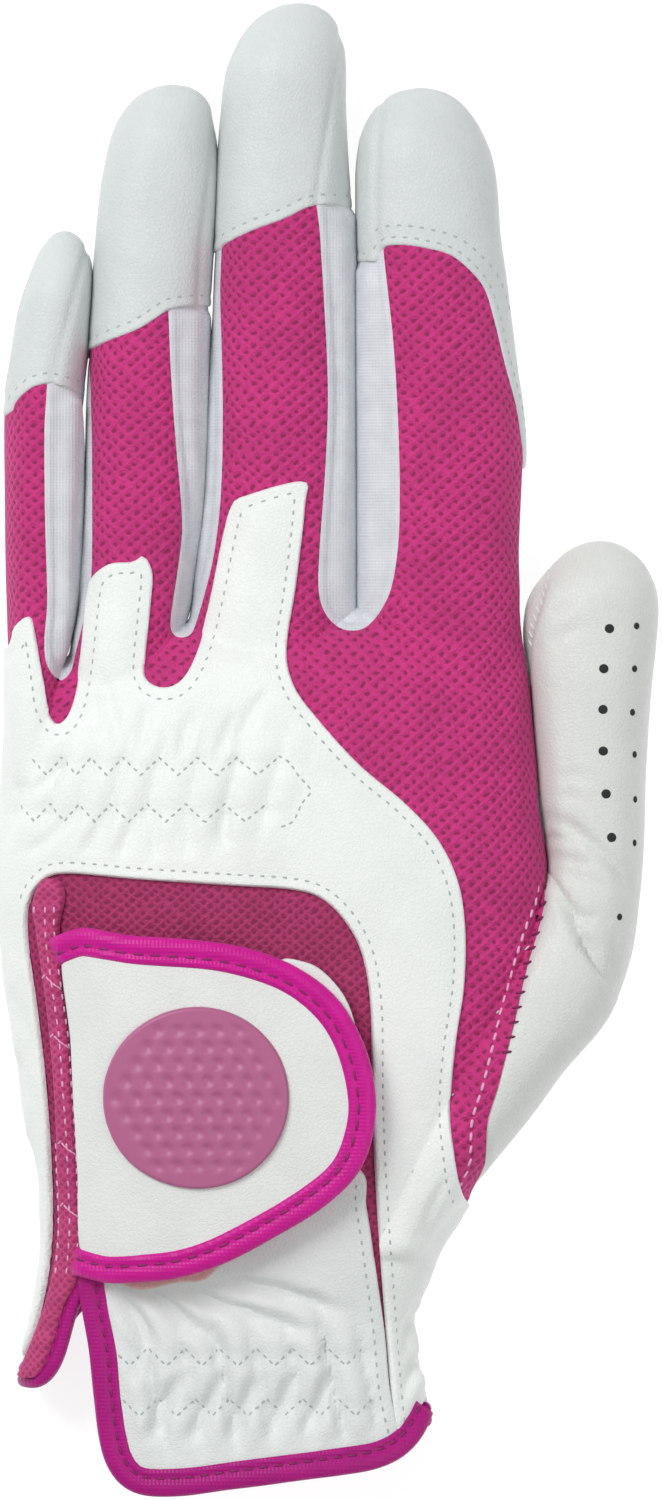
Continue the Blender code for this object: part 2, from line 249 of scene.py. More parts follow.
# The hand's section, as (y, value) pairs: its height, its two sides, and how far its front slants
TOP_HAND = (
    (-112, 14.2), (-96, 15.2), (-82, 16.6), (-66, 19), (-45, 20.6), (-18, 20.8), (-4, 20), (8, 18.6),
    (22, 16),
)
LEFT_HAND = (
    (-112, -45.6), (-94, -45.4), (-90.5, -45.2), (-87, -44.6), (-79.6, -42.9), (-72, -41.9), (-65, -41.9),
    (-54, -43.8), (-40, -45.9), (-32, -47.1), (-18, -47.9), (0, -47.3), (14, -46.9), (24, -46.9),
)
RIGHT_HAND = (
    (-112, 13.5), (-97, 14.1), (-94, 13.8), (-90.5, 12.9), (-87, 12.3), (-83, 12), (-79.6, 12.5), (-76, 13.9),
    (-72, 15.3), (-66, 19), (-55, 24), (-45, 27.4), (-30, 30.4), (-20, 30.9), (-14, 30.3), (-7, 29.5),
    (0, 29), (7, 28.4), (14, 27.7), (24, 27.2),
)
FRONT_SHEAR = ((-48, -8.5), (-38, -7), (-21.5, -2), (3, 0), (30, 0))

# Each digit seen from above, up its left side and down its right, with its height as (y, z) and its dome
DIGITS = {
    "pinky": dict(outline=[
        (-46.6, -4), (-46.9, 14), (-47.3, 36), (-47.3, 50), (-46.3, 58), (-45.1, 64.6), (-43.4, 70),
        (-41.7, 73.6), (-39.4, 75.4), (-36.9, 74.6), (-35.3, 71.6), (-35.0, 67), (-35.4, 59), (-36.2, 50),
        (-36.7, 36), (-37.4, 23), (-38.8, 13), (-39.5, -4),
    ], top=((-4, 15), (20, 13.6), (60, 13), (76, 12)), dome=9.5),
    "ring": dict(outline=[
        (-38.3, -4), (-38.2, 13), (-37, 22), (-36.2, 36), (-35.7, 50), (-34.9, 62), (-34, 74), (-32.9, 84),
        (-31.3, 90.6), (-28.9, 94.4), (-26, 96), (-22.6, 96.4), (-19.4, 95.6), (-17.6, 93), (-17, 88),
        (-17, 80), (-17.5, 72), (-18.2, 60), (-18.5, 43), (-19.4, 32), (-20.9, 22), (-21.7, 15), (-21.8, -4),
    ], top=((-4, 16), (20, 14.6), (60, 14), (97, 13)), dome=9),
    "middle": dict(outline=[
        (-21.3, -4), (-21.1, 16), (-20.3, 22), (-18.8, 32), (-18.1, 43), (-17.6, 60), (-16.9, 74),
        (-16.3, 86), (-15.4, 97), (-14, 101.8), (-11.6, 105.6), (-8.3, 107.7), (-4.6, 108.3), (-1.2, 107.6),
        (0.8, 105), (1.7, 100.5), (1.8, 94), (2.5, 85), (3.1, 74), (3.2, 50), (3.3, 20), (3.2, -4),
    ], top=((-4, 16.4), (20, 15), (60, 14.4), (109, 13.2)), dome=9.5),
    "index": dict(outline=[
        (3.7, -4), (3.8, 20), (3.7, 50), (3.5, 80), (3.6, 86), (4.6, 90.6), (7.2, 94.2), (10.2, 95.6),
        (13.8, 95.9), (17.2, 95.1), (19.8, 92.8), (22, 89), (23.3, 84.5), (24, 76), (25, 68), (26.1, 60),
        (27.3, 51), (27.8, 43), (27.2, 32), (26.9, 22), (27.4, 14), (28.6, -4),
    ], top=((-4, 16.4), (20, 15), (60, 14.4), (96, 13.2)), dome=9.5),
    "thumb": dict(outline=[
        (3, -72), (7, -60), (12, -51), (19, -40), (25.5, -30), (29.4, -22), (31.2, -17.4), (31, -13.5),
        (30.1, -7), (29.6, 0), (28.9, 8), (28.2, 15), (28.2, 19.4), (29, 22.8), (31, 26), (33.7, 29),
        (36.4, 30.3), (39, 30.6), (41.8, 30.2), (44.2, 28.8), (46.2, 26.4), (47.4, 22.4), (47.1, 16),
        (46.3, 7.4), (45.7, -2), (45.3, -14), (44.6, -23), (43.3, -31), (40, -39.5), (33.9, -47), (28.9, -54),
        (22.9, -61.5), (14.8, -72),
    ], top=((-72, 17), (-50, 18.4), (-36, 17.8), (-22, 16), (0, 15), (31, 14)), dome=9.5),
}
HAND_POWER, DIGIT_POWER = 2.6, 2.25     # how square the sections are, from 2 for an ellipse
HAND_LOW, DIGIT_LOW = -1.2, -0.8
MID_SHARE = 0.42                        # how high the widest place is
HAND_START, HAND_FRONT, HAND_DOME = -111, 20.0, 14.0
GROUND_SOFTNESS = 0.5


def stations(start, end, dome, step, count):
    """Places along a tube, closer together over the dome at its far end."""
    rise = np.sin(np.linspace(0, 1, count) * math.pi / 2)
    return np.concatenate((np.arange(start, end - dome, step), end - dome + dome * rise))


def domed_tube(ys, left, right, top, low, end, dome, power, shear=None, columns=56):
    """A closed tube with a rounded section, flat where it meets the ground, and a dome at its far end."""
    angle = np.linspace(0, 2 * math.pi, columns, endpoint=False)
    cos, sin = np.cos(angle), np.sin(angle)
    across = np.sign(cos) * np.abs(cos) ** (2 / power)
    rise = np.sign(sin) * np.abs(sin) ** (2 / power)
    shrink = np.sqrt(np.clip(1 - (np.maximum(ys - (end - dome), 0) / dome) ** 2, 0.0004, 1))
    core = low + MID_SHARE * (top - low)
    made = []
    for y, l, r, t, b in zip(ys, left, right, core + (top - core) * shrink, core + (low - core) * shrink):
        middle = b + MID_SHARE * (t - b)
        x = (l + r) / 2 + (r - l) / 2 * across
        z = middle + np.where(rise > 0, t - middle, middle - b) * rise
        z = INSET + GROUND_SOFTNESS * np.logaddexp(0, (z - INSET) / GROUND_SOFTNESS)
        where = np.full(columns, y)
        if shear is not None:
            where = where + spline(shear, x) * smoothstep(-22, HAND_FRONT, y)
        made.append(np.stack((x, where, z), axis=1))
    return tube(made)


def tube(made):
    """Joins rings into one closed mesh with fanned ends."""
    columns = len(made[0])
    points = np.vstack(made + [made[0].mean(axis=0)[None], made[-1].mean(axis=0)[None]])
    faces = []
    for i in range(len(made) - 1):
        for j in range(columns):
            k = (j + 1) % columns
            a, b = i * columns, (i + 1) * columns
            faces.append((a + j, b + j, b + k, a + k))
    first, last = len(points) - 2, len(points) - 1
    end = (len(made) - 1) * columns
    for j in range(columns):
        k = (j + 1) % columns
        faces.append((j, k, first))
        faces.append((end + k, end + j, last))
    return points, faces


def hand_tube():
    """The hand from the cuff to the finger roots."""
    ys = stations(HAND_START, HAND_FRONT, HAND_DOME, 1.5, 16)
    return domed_tube(
        ys, spline(LEFT_HAND, ys) + INSET, spline(RIGHT_HAND, ys) - INSET, spline(TOP_HAND, ys) - INSET,
        HAND_LOW, HAND_FRONT, HAND_DOME, HAND_POWER, FRONT_SHEAR, 96,
    )


def digit_tube(digit):
    """One digit, its sides read off its outline from root to tip."""
    path = path_through(digit["outline"], 0.4)
    peak = int(np.argmax(path[:, 1]))
    left, right = path[:peak + 1], path[peak:][::-1]
    tip, dome = path[peak][1] - INSET, digit["dome"]
    ys = stations(path[0][1], tip, dome, 1.2, 26)
    ys[-1] = tip - 0.01
    scaled = ys * (path[peak][1] / tip)
    x_left, x_right = (
        np.interp(scaled, np.maximum.accumulate(side[:, 1]), side[:, 0]) for side in (left, right)
    )
    half, middle = np.maximum((x_right - x_left) / 2 - INSET, 0.05), (x_left + x_right) / 2
    return domed_tube(
        ys, middle - half, middle + half, spline(digit["top"], ys) - INSET, DIGIT_LOW, tip, dome, DIGIT_POWER,
    )


def joined(parts):
    """Several (points, faces) as one."""
    points, faces, start = [], [], 0
    for p, f in parts:
        points.append(p)
        faces += [tuple(i + start for i in face) for face in f]
        start += len(p)
    return np.vstack(points), faces


def triangles_of(mesh):
    """A mesh's points and triangles as arrays."""
    mesh.calc_loop_triangles()
    made = np.empty(len(mesh.loop_triangles) * 3, np.int64)
    mesh.loop_triangles.foreach_get("vertices", made)
    points = np.empty(len(mesh.vertices) * 3)
    mesh.vertices.foreach_get("co", points)
    return points.reshape(-1, 3), made.reshape(-1, 3)


def remeshed(points, faces):
    """The union of overlapping closed tubes, as one even skin."""
    mesh = bpy.data.meshes.new("union")
    mesh.from_pydata(points.tolist(), [], faces)
    made = bpy.data.objects.new("union", mesh)
    bpy.context.scene.collection.objects.link(made)
    voxels = made.modifiers.new("union", "REMESH")
    voxels.mode = "VOXEL"
    voxels.voxel_size = VOXEL
    graph = bpy.context.evaluated_depsgraph_get()
    result = bpy.data.meshes.new_from_object(made.evaluated_get(graph))
    v, t = triangles_of(result)
    bpy.data.objects.remove(made)
    bpy.data.meshes.remove(result)
    bpy.data.meshes.remove(mesh)
    return v, t


def vertex_normals(v, t):
    """A unit normal at each point, weighted by the triangles' areas."""
    face = np.cross(v[t[:, 1]] - v[t[:, 0]], v[t[:, 2]] - v[t[:, 0]])
    made = np.zeros_like(v)
    for k in range(3):
        for axis in range(3):
            made[:, axis] += np.bincount(t[:, k], face[:, axis], len(v))
    return unit(made)


def sides_of(t):
    """Every triangle's three edges, in the triangle's direction."""
    return np.vstack((t[:, :2], t[:, 1:], t[:, [2, 0]]))


def smoothed(v, t, rounds, keep=0.53):
    """Taubin smoothing, which rounds creases and keeps the volume."""
    e = np.unique(np.sort(sides_of(t), axis=1), axis=0)
    degree = np.bincount(e.ravel(), minlength=len(v))[:, None]
    v = v.copy()
    for n in range(rounds * 2):
        total = np.zeros_like(v)
        for axis in range(3):
            for a, b in (e.T, e.T[::-1]):
                total[:, axis] += np.bincount(a, v[b, axis], len(v))
        v += (total / degree - v) * (0.5 if n % 2 == 0 else -keep)
    return v


def base_skin():
    """The outer skin of the whole glove: points and triangles."""
    v, t = remeshed(*joined([hand_tube()] + [digit_tube(d) for d in DIGITS.values()]))
    v = smoothed(v, t, 10)
    return v + vertex_normals(v, t) * INSET, t


# ---------------------------------------------------------------- cutting panels out of the skin


def compact(skin, keep):
    """The skin with only the triangles that keep marks, and only the points they use."""
    t = skin["t"][keep]
    used = np.zeros(len(skin["v"]), bool)
    used[t.ravel()] = True
    place = np.cumsum(used) - 1
    return {"t": place[t], **{k: a[used] for k, a in skin.items() if k != "t"}}


def split(skin, value):
    """Adds points where value crosses zero, so that no triangle has both signs."""
    value = np.where(np.abs(value) < 0.02, 0.0, value)
    t = skin["t"]
    sign = np.sign(value)[t]
    mixed = (sign.max(axis=1) > 0) & (sign.min(axis=1) < 0)
    if not mixed.any():
        return skin, value
    cross, sign = t[mixed], sign[mixed]
    pairs = np.sort(np.stack((cross, np.roll(cross, -1, axis=1)), axis=2).reshape(-1, 2), axis=1)
    crossing = value[pairs[:, 0]] * value[pairs[:, 1]] < 0
    unique, inverse = np.unique(pairs[crossing], axis=0, return_inverse=True)
    a, b = unique.T
    share = value[a] / (value[a] - value[b])
    made = {}
    for key, array in skin.items():
        if key != "t":
            s = share.reshape((-1,) + (1,) * (array.ndim - 1))
            made[key] = np.concatenate((array, array[a] + (array[b] - array[a]) * s))
    on_edge = np.full(len(pairs), -1)
    on_edge[crossing] = len(skin["v"]) + inverse.ravel()
    on_edge = on_edge.reshape(-1, 3)
    touches = (sign == 0).any(axis=1)
    lone = np.argmax(sign == -np.sign(sign.sum(axis=1, keepdims=True)), axis=1)
    first = np.where(touches, np.argmin(np.abs(sign), axis=1), lone)
    turn = (first[:, None] + np.arange(3)) % 3
    p, q, r = np.take_along_axis(cross, turn, 1).T
    pq, qr, rp = np.take_along_axis(on_edge, turn, 1).T
    two = np.concatenate((np.stack((p, q, qr), 1)[touches], np.stack((p, qr, r), 1)[touches]))
    three = np.concatenate([
        np.stack(triple, 1)[~touches] for triple in ((p, pq, rp), (pq, q, r), (pq, r, rp))
    ])
    made["t"] = np.concatenate((t[~mixed], two, three))
    return made, np.concatenate((value, np.zeros(len(unique))))


def kept(skin, value):
    """The part of the skin where value is above zero, cut cleanly along zero."""
    skin, value = split(skin, value)
    return compact(skin, value[skin["t"]].max(axis=1) > 0)


def outline_distance(xy, outline, reach=7.0):
    """Distance to a closed outline, positive inside it and at most reach."""
    a = np.asarray(outline, float)
    b = np.roll(a, -1, axis=0)
    gap = np.full(len(xy), reach)
    for i in range(0, len(a), 12):
        p, q = a[i:i + 12], b[i:i + 12]
        low, high = np.minimum(p, q).min(axis=0) - reach, np.maximum(p, q).max(axis=0) + reach
        near = np.flatnonzero(((xy > low) & (xy < high)).all(axis=1))
        if len(near):
            from_p = xy[near][:, None] - p
            way = q - p
            along = np.clip((from_p * way).sum(axis=2) / np.maximum((way**2).sum(axis=1), 1e-12), 0, 1)
            found = np.sqrt(((from_p - along[..., None] * way)**2).sum(axis=2).min(axis=1))
            gap[near] = np.minimum(gap[near], found)
    inside = np.zeros(len(xy), bool)
    for p, q in zip(a, b):
        if p[1] != q[1]:
            low, high = sorted((p[1], q[1]))
            band = np.flatnonzero((xy[:, 1] >= low) & (xy[:, 1] < high))
            edge = p[0] + (q[0] - p[0]) * (xy[band, 1] - p[1]) / (q[1] - p[1])
            inside[band] ^= xy[band, 0] < edge
    return np.where(inside, gap, -gap)


def line_distance(xy, line, reach=7.0):
    """Distance to an open line, at most reach."""
    line = np.asarray(line, float)
    return np.abs(outline_distance(xy, np.vstack((line, line[-2:0:-1])), reach))


def beyond(xy, points):
    """How far x lies to the right of the line through (y, x) points."""
    return xy[:, 0] - spline(points, xy[:, 1])


def rounded_rim(distance, height, radius):
    """The height of a turned edge, rising over radius as a quarter round."""
    t = np.clip(distance / radius, 0, 1)
    return height * np.sqrt(np.clip(1 - (1 - t)**2, 0, 1))


def edge_rings(skin, key, levels):
    """Adds rows of points at the given distances from the panel's edge."""
    for level in levels:
        skin, _ = split(skin, skin[key] - level)
    return skin


# ---------------------------------------------------------------- where the glove bends

# The middle of the gap to the right of each finger, as (y, x) pairs
GAPS = {
    "pinky": (
        (-60, -38.9), (13, -38.65), (22, -37.15), (43, -36.35), (58, -35.4), (66, -34.75), (110, -34.2),
    ),
    "ring": (
        (-60, -21.6), (18, -21.4), (22, -20.65), (32, -19.15), (43, -18.35), (65, -17.85), (80, -16.85),
        (97, -16.4), (110, -16),
    ),
    "middle": ((-60, 3.4), (20, 3.6), (60, 3.35), (84, 3.1), (110, 3.0)),
}
THUMB_GAP = (
    (-60, 19.5), (-43, 25), (-30, 28.4), (-25, 29.7), (-21.6, 30.7), (-17.6, 30.95), (-7, 29.75), (0, 29.5),
    (14, 28.15), (24, 27.9), (34, 28.5),
)
# Where each digit begins, where it is cut in two, and the stretches that its two joints bend
ZONES = {
    "pinky": dict(root=14, cut=31, base=(14, 28), tip=(34, 50)),
    "ring": dict(root=20, cut=38, base=(20, 34), tip=(42, 58)),
    "middle": dict(root=24, cut=45, base=(24, 38), tip=(52, 68)),
    "index": dict(root=24, cut=43, base=(24, 38), tip=(48, 64)),
    "thumb": dict(root=-24, cut=-4, base=(-24, -8), tip=(1, 17)),
}


def digit_fields(xy):
    """For each digit, a value above zero only on that digit, past its root."""
    gaps = {name: beyond(xy, points) for name, points in GAPS.items()}
    thumb_side = beyond(xy, THUMB_GAP)
    past = {name: xy[:, 1] - zone["root"] for name, zone in ZONES.items()}
    on = {
        "pinky": gaps["pinky"] < 0,
        "ring": (gaps["pinky"] >= 0) & (gaps["ring"] < 0),
        "middle": (gaps["ring"] >= 0) & (gaps["middle"] < 0),
        "index": (gaps["middle"] >= 0) & (thumb_side < 0),
    }
    fields = {name: np.where(on[name], past[name], -9.0) for name in on}
    thumb = np.where(xy[:, 1] < 33, np.minimum(past["thumb"], thumb_side), -9.0)
    return {**fields, "thumb": thumb}


def by_body(skin):
    """Cuts a panel where the bodies that it follows change: yields (digit or None, part, skin)."""
    fields = digit_fields(skin["v"][:, :2])
    rest = -np.max(list(fields.values()), axis=0)
    palm = kept(skin, rest)
    if len(palm["t"]):
        yield None, "palm", palm
    for digit, zone in ZONES.items():
        if fields[digit].max() <= 0.03:
            continue
        piece = kept(skin, fields[digit])
        height = piece["v"][:, 1] - zone["cut"]
        for part, value in (("lower", -height), ("upper", height)):
            if value.max() > 0.05:
                found = kept(piece, value)
                if len(found["t"]):
                    yield digit, part, found


def follow(piece, digit, part):
    """Makes a piece follow the palm, or bend with one of a digit's joints."""
    if digit is None:
        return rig.ride(piece, part)
    zone = ZONES[digit]
    bodies = ("palm", f"{digit}_lower") if part == "lower" else (f"{digit}_lower", f"{digit}_upper")
    start, end = zone["base"] if part == "lower" else zone["tip"]
    place = [tuple((np.array((0.0, y, 0.0)) - CENTRE) * (0, MM, 0)) for y in (start, end)]
    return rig.blend(piece, *bodies, start=place[0], end=place[1])


def piece_name(name, digit, part):
    return name if digit is None else f"{digit}_{name}_{part}"


# ---------------------------------------------------------------- meshes


def mesh_object(name, points, faces, material, slot, uv=None, normals=None):
    """A mesh object from design points; faces is one array per number of corners.

    It keeps each point's place at rest, in millimetres, for the materials.
    """
    mesh = bpy.data.meshes.new(name)
    world = (np.asarray(points, float) - CENTRE) * MM
    mesh.vertices.add(len(world))
    mesh.vertices.foreach_set("co", world.ravel())
    corners = np.concatenate([f.ravel() for f in faces])
    sizes = np.concatenate([np.full(len(f), f.shape[1]) for f in faces])
    mesh.loops.add(len(corners))
    mesh.loops.foreach_set("vertex_index", corners)
    mesh.polygons.add(len(sizes))
    mesh.polygons.foreach_set("loop_start", np.concatenate(([0], np.cumsum(sizes)[:-1])))
    mesh.polygons.foreach_set("loop_total", sizes)
    mesh.update(calc_edges=True)
    if uv is not None:
        mesh.uv_layers.new(name="rest").data.foreach_set("uv", uv[corners].ravel())
    mesh.shade_smooth()
    if normals is not None:
        mesh.normals_split_custom_set(normals(corners).tolist())
    rest = mesh.attributes.new("rest_place", "FLOAT_VECTOR", "POINT")
    rest.data.foreach_set("vector", (world.astype(np.float32).astype(float) / MM).astype(np.float32).ravel())
    made = bpy.data.objects.new(name, mesh)
    bpy.context.scene.collection.objects.link(made)
    mesh.materials.append(material)
    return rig.slot(made, slot)


def border(t):
    """The edges that only one triangle has, in that triangle's direction."""
    edges = sides_of(t)
    _, index, count = np.unique(np.sort(edges, axis=1), axis=0, return_index=True, return_counts=True)
    return edges[index[count == 1]]


def shell_object(name, skin, material, slot):
    """A closed panel between the skin's outer and inner surfaces, with an edge all round."""
    t, count = skin["t"], len(skin["v"])
    rim = border(t)
    sides = np.stack((rim[:, 1], rim[:, 0], rim[:, 0] + count, rim[:, 1] + count), axis=1)
    points = np.vstack((skin["outer"], skin["inner"]))
    corner = points[sides]
    flat = unit(np.cross(corner[:, 2] - corner[:, 0], corner[:, 3] - corner[:, 1]))

    def normals(corners):
        outer, inner = corners[:t.size], corners[t.size:2 * t.size] - count
        return np.vstack((unit(skin["normal"])[outer], -skin["n"][inner], np.repeat(flat, 4, axis=0)))

    uv = np.vstack((skin["uv"], skin["uv"]))
    return mesh_object(name, points, [t, t[:, ::-1] + count, sides], material, slot, uv, normals)


def panel(skin, height, thickness):
    """Gives the skin its outer and inner surfaces."""
    skin = dict(skin)
    skin["outer"] = skin["v"] + skin["n"] * height[:, None]
    skin["outer"][:, 2] = np.maximum(skin["outer"][:, 2], 0)
    skin["inner"] = skin["v"] + skin["n"] * (np.minimum(height, 0) - thickness)[:, None]
    skin["normal"] = vertex_normals(skin["outer"], skin["t"])
    return skin


# ---------------------------------------------------------------- outlines of the sewn parts

# Outlines are (x, y) points seen from above; lines that a side is measured from are (y, x) pairs
YOKE = closed_path(
    (-54, 14.9), (-47, 15), (-45.6, 18), (-43.6, 19.5), (-42.8, 16.5), (-41.8, 10), (-41.2, 6.2),
    (-39.8, 3.9), (-38.3, 4.6), (-37.1, 7.7), (-36.2, 13.2), (-35.2, 22.5), (-34.4, 25.2), (-32, 27.1),
    (-28.7, 27.4), (-27.3, 28.3), (-26, 25.7), (-26.4, 20), (-27.1, 12), (-26, 9.6), (-23.5, 9.1),
    (-21.2, 10.7), (-19.2, 15), (-17.4, 22), (-15.6, 31), (-14.3, 35.6), (-12.3, 37), (-4.2, 39),
    (-3.9, 35.5), (-5.2, 24), (-6.5, 15), (-5.5, 9.5), (-2, 4.6), (4, -2), (10.5, -7.5), (15.3, -12.8),
    (18.2, -19), (19.2, -26), (19, -34), (17.8, -42), (17.1, -50), (17.5, -57), (19.2, -65), (26, -72),
    (26, -116), (-54, -116),
)
WINDOW = closed_path(
    (12, -118), (9.1, -98.7), (8.1, -88.3), (6.6, -68), (5.8, -52), (5.6, -38), (4.6, -30.3), (2.4, -25.3),
    (-1.2, -21.5), (-5.5, -20), (-14, -19.4), (-28, -18.5), (-38.6, -17.7), (-42, -19.2), (-43.8, -22.8),
    (-43.8, -28), (-42.7, -36), (-41.4, -47), (-40.6, -58), (-40.4, -69), (-41.2, -77), (-43.2, -85),
    (-46.5, -94), (-48, -118),
)
WRIST = closed_path(
    (12.4, -118), (10.4, -102), (8.4, -93), (7.5, -84), (6.2, -74), (5, -66), (3.5, -60), (-10, -58),
    (-30, -58), (-36.5, -64), (-35.6, -76), (-33.6, -86), (-32.4, -97), (-31, -118),
)
WEBS = [
    closed_path(
        (-41, 68), (-41.2, 54), (-41.6, 46), (-41.5, 33.5), (-41.2, 22), (-41.6, 16), (-41.2, 12.4),
        (-39.4, 10.2), (-37.9, 11.4), (-37.3, 13.6), (-35.5, 21), (-34.8, 26.5), (-34.8, 43.6), (-35.2, 56),
        (-35.6, 68),
    ),
    closed_path(
        (-24, 80), (-23.6, 62), (-22.9, 48), (-21.7, 34), (-22.1, 27.7), (-23.4, 19), (-22.9, 16.8),
        (-21.4, 16.4), (-20.1, 17.4), (-18.6, 22.2), (-17.1, 28.5), (-16.1, 37), (-15.8, 48), (-16.2, 65),
        (-16.6, 80),
    ),
    closed_path(
        (-2.6, 88), (-1.7, 74), (-0.6, 54), (-0.9, 42), (-1.8, 29), (-1.9, 23), (-0.9, 19.8), (1, 17.9),
        (2.9, 17.4),
        (4.9, 17.9), (7.2, 20.5), (8.8, 24.5), (9.7, 32), (9.7, 44), (8.9, 59), (7.4, 73), (6.4, 88),
    ),
]
CAP_EDGES = {
    "pinky": [
        (-56, 48), (-47, 48.6), (-45.4, 50.6), (-43.3, 52.5), (-40.9, 53.1), (-38, 52.4), (-34.5, 51.5),
        (-28, 51),
    ],
    "ring": [
        (-44, 56), (-35.6, 58), (-31.9, 59.4), (-27.8, 61), (-24.3, 63.3), (-23, 64), (-18.4, 64.5),
        (-10, 64.6),
    ],
    "middle": [(-26, 71), (-17, 72.3), (-15.6, 73.2), (-11.9, 75), (-6.8, 76.9), (-2.7, 78.8), (3, 79), (12, 79)],
    "index": [
        (-4, 70.9), (3.8, 70.9), (6.6, 70.9), (7.5, 72.8), (10, 73.1), (13.5, 72.6), (17, 71.6), (19.6, 69.6),
        (21.8, 66.9), (23.2, 62.6), (24.8, 56), (26.4, 49.8), (27.2, 44.6), (28.4, 40), (36, 36),
    ],
}
# The seam between the mesh and the thumb leather
KNIT_EDGE = (
    (-116, 26), (-68, 26), (-65.5, 19.6), (-59, 22), (-54, 22.3), (-48.5, 23.9), (-40.4, 26), (-31.7, 28.1),
    (-25, 30.1), (-21.5, 30.8), (-17, 30.9), (-13, 30.1), (-7, 29.2), (0, 29), (8, 28.3), (15, 27.2),
    (21, 26.6), (30, 26.9), (44, 27.5),
)
# Heights along the glove of the seam between back and palm, and of the webs' lower edge
SIDE_SEAM = ((-112, 6), (-66, 7.5), (-20, 8), (-2, 7), (14, 4.8), (30, 4.4), (110, 4.4))
WEB_FLOOR = 2.2
# The slit and the hem of the back, and the hem of the palm
SLIT_PALM = [
    (-35.3, -74.4), (-36.3, -76.4), (-38.3, -79.8), (-39.5, -84), (-40.7, -87.9), (-42.2, -90.2),
    (-43.7, -90.8), (-46.5, -89.5),
]
HEM_BACK = [
    (-34.9, -74.6), (-34.1, -80.5), (-33, -86.5), (-32.4, -93), (-31.6, -99.1), (-30.4, -103),
    (-27.8, -105.4), (-21.9, -105.6), (-14.2, -104.6), (-6.4, -103.6), (1.3, -102.6), (6.2, -101.8),
    (9.5, -100.2), (11.6, -97.8), (12.9, -95),
]
BACK_KEPT = np.vstack((
    path_through(SLIT_PALM)[::-1], path_through(HEM_BACK),
    [(13.8, -93.6), (30, -93), (70, -60), (70, 130), (-70, 130), (-70, -89.5)],
))
PALM_HEM = (
    (-50, -91), (-45.4, -90.6), (-42.6, -88.4), (-40.4, -84), (-38.4, -79.8), (-35.5, -77.8), (-30, -77.8),
    (-20, -81), (-8, -86), (4, -91.8), (12, -96.3), (20, -96.3),
)
THUMB_BASE = closed_path(
    (30.4, -15.4), (31.3, -17.4), (32.9, -20.4), (34.4, -23.2), (36.3, -27), (38.1, -30.8), (40.1, -34),
    (42.2, -37), (44, -42), (40, -60), (24, -84), (8, -84), (8, -40), (20, -20), (28, -13.6),
)


def cap_outline(digit):
    """A fingertip's lower edge, closed beyond its tip."""
    edge = path_through(CAP_EDGES[digit])
    return np.vstack((edge, [(edge[-1][0], 125), (edge[0][0], 125)]))


# ---------------------------------------------------------------- materials


def srgb(*colour):
    """A colour given from 0 to 255, as the linear values that shaders use."""
    return tuple(((c / 255 + 0.055) / 1.055)**2.4 if c > 10 else c / 255 / 12.92 for c in colour) + (1.0,)


def darker(colour, share):
    return tuple(c * share for c in colour[:3]) + (1.0,)


class Shader:
    """A Principled material, with short calls for the nodes that feed it."""

    def __init__(self, name, colour, roughness, **values):
        self.material = bpy.data.materials.new(name)
        self.material.use_nodes = True
        self.nodes, self.links = self.material.node_tree.nodes, self.material.node_tree.links
        self.base = next(n for n in self.nodes if n.type == "BSDF_PRINCIPLED")
        self.material.diffuse_color = colour
        self.set("Base Color", colour)
        self.set("Roughness", roughness)
        for key, value in values.items():
            self.set(key.replace("_", " ").title().replace("Ior", "IOR"), value)

    def feed(self, socket, value):
        """Links an input to a node's output, or gives it a value."""
        if isinstance(value, bpy.types.NodeSocket):
            self.links.new(value, socket)
        else:
            socket.default_value = value

    def set(self, key, value):
        self.feed(self.base.inputs[key], value)

    def node(self, kind, inputs=(), **settings):
        made = self.nodes.new(kind)
        for key, value in settings.items():
            setattr(made, key, value)
        for key, value in dict(inputs).items():
            self.feed(made.inputs[key], value)
        return made

    def math(self, operation, *values):
        return self.node("ShaderNodeMath", enumerate(values), operation=operation).outputs[0]

    def add(self, a, b):
        return self.math("ADD", a, b)

    def times(self, a, b):
        return self.math("MULTIPLY", a, b)

    def rest(self):
        """Where a point lies at rest, in millimetres, so that the grain moves with the piece."""
        return self.node("ShaderNodeAttribute", attribute_name="rest_place").outputs["Vector"]

    def weave(self):
        return self.node("ShaderNodeUVMap", uv_map="rest").outputs[0]

    def noise(self, vector, scale, detail=2.0, roughness=0.5):
        values = {"Vector": vector, "Scale": scale, "Detail": detail, "Roughness": roughness}
        return self.node("ShaderNodeTexNoise", values).outputs["Fac"]

    def ramp(self, value, low, high, to_low=0.0, to_high=1.0):
        values = {0: value, 1: low, 2: high, 3: to_low, 4: to_high}
        return self.node("ShaderNodeMapRange", values, interpolation_type="SMOOTHSTEP").outputs[0]

    def mix(self, share, a, b):
        return self.node("ShaderNodeMix", {0: share, 6: a, 7: b}, data_type="RGBA").outputs[2]

    def varied(self, value, colour, share):
        """The colour, a share darker where the value is high."""
        return self.mix(self.ramp(value, 0.3, 0.7), colour, darker(colour, share))

    def bump(self, height, distance, normal=None):
        values = {"Height": height, "Distance": distance * MM, "Strength": 1.0}
        if normal is not None:
            values["Normal"] = normal
        return self.node("ShaderNodeBump", values).outputs[0]


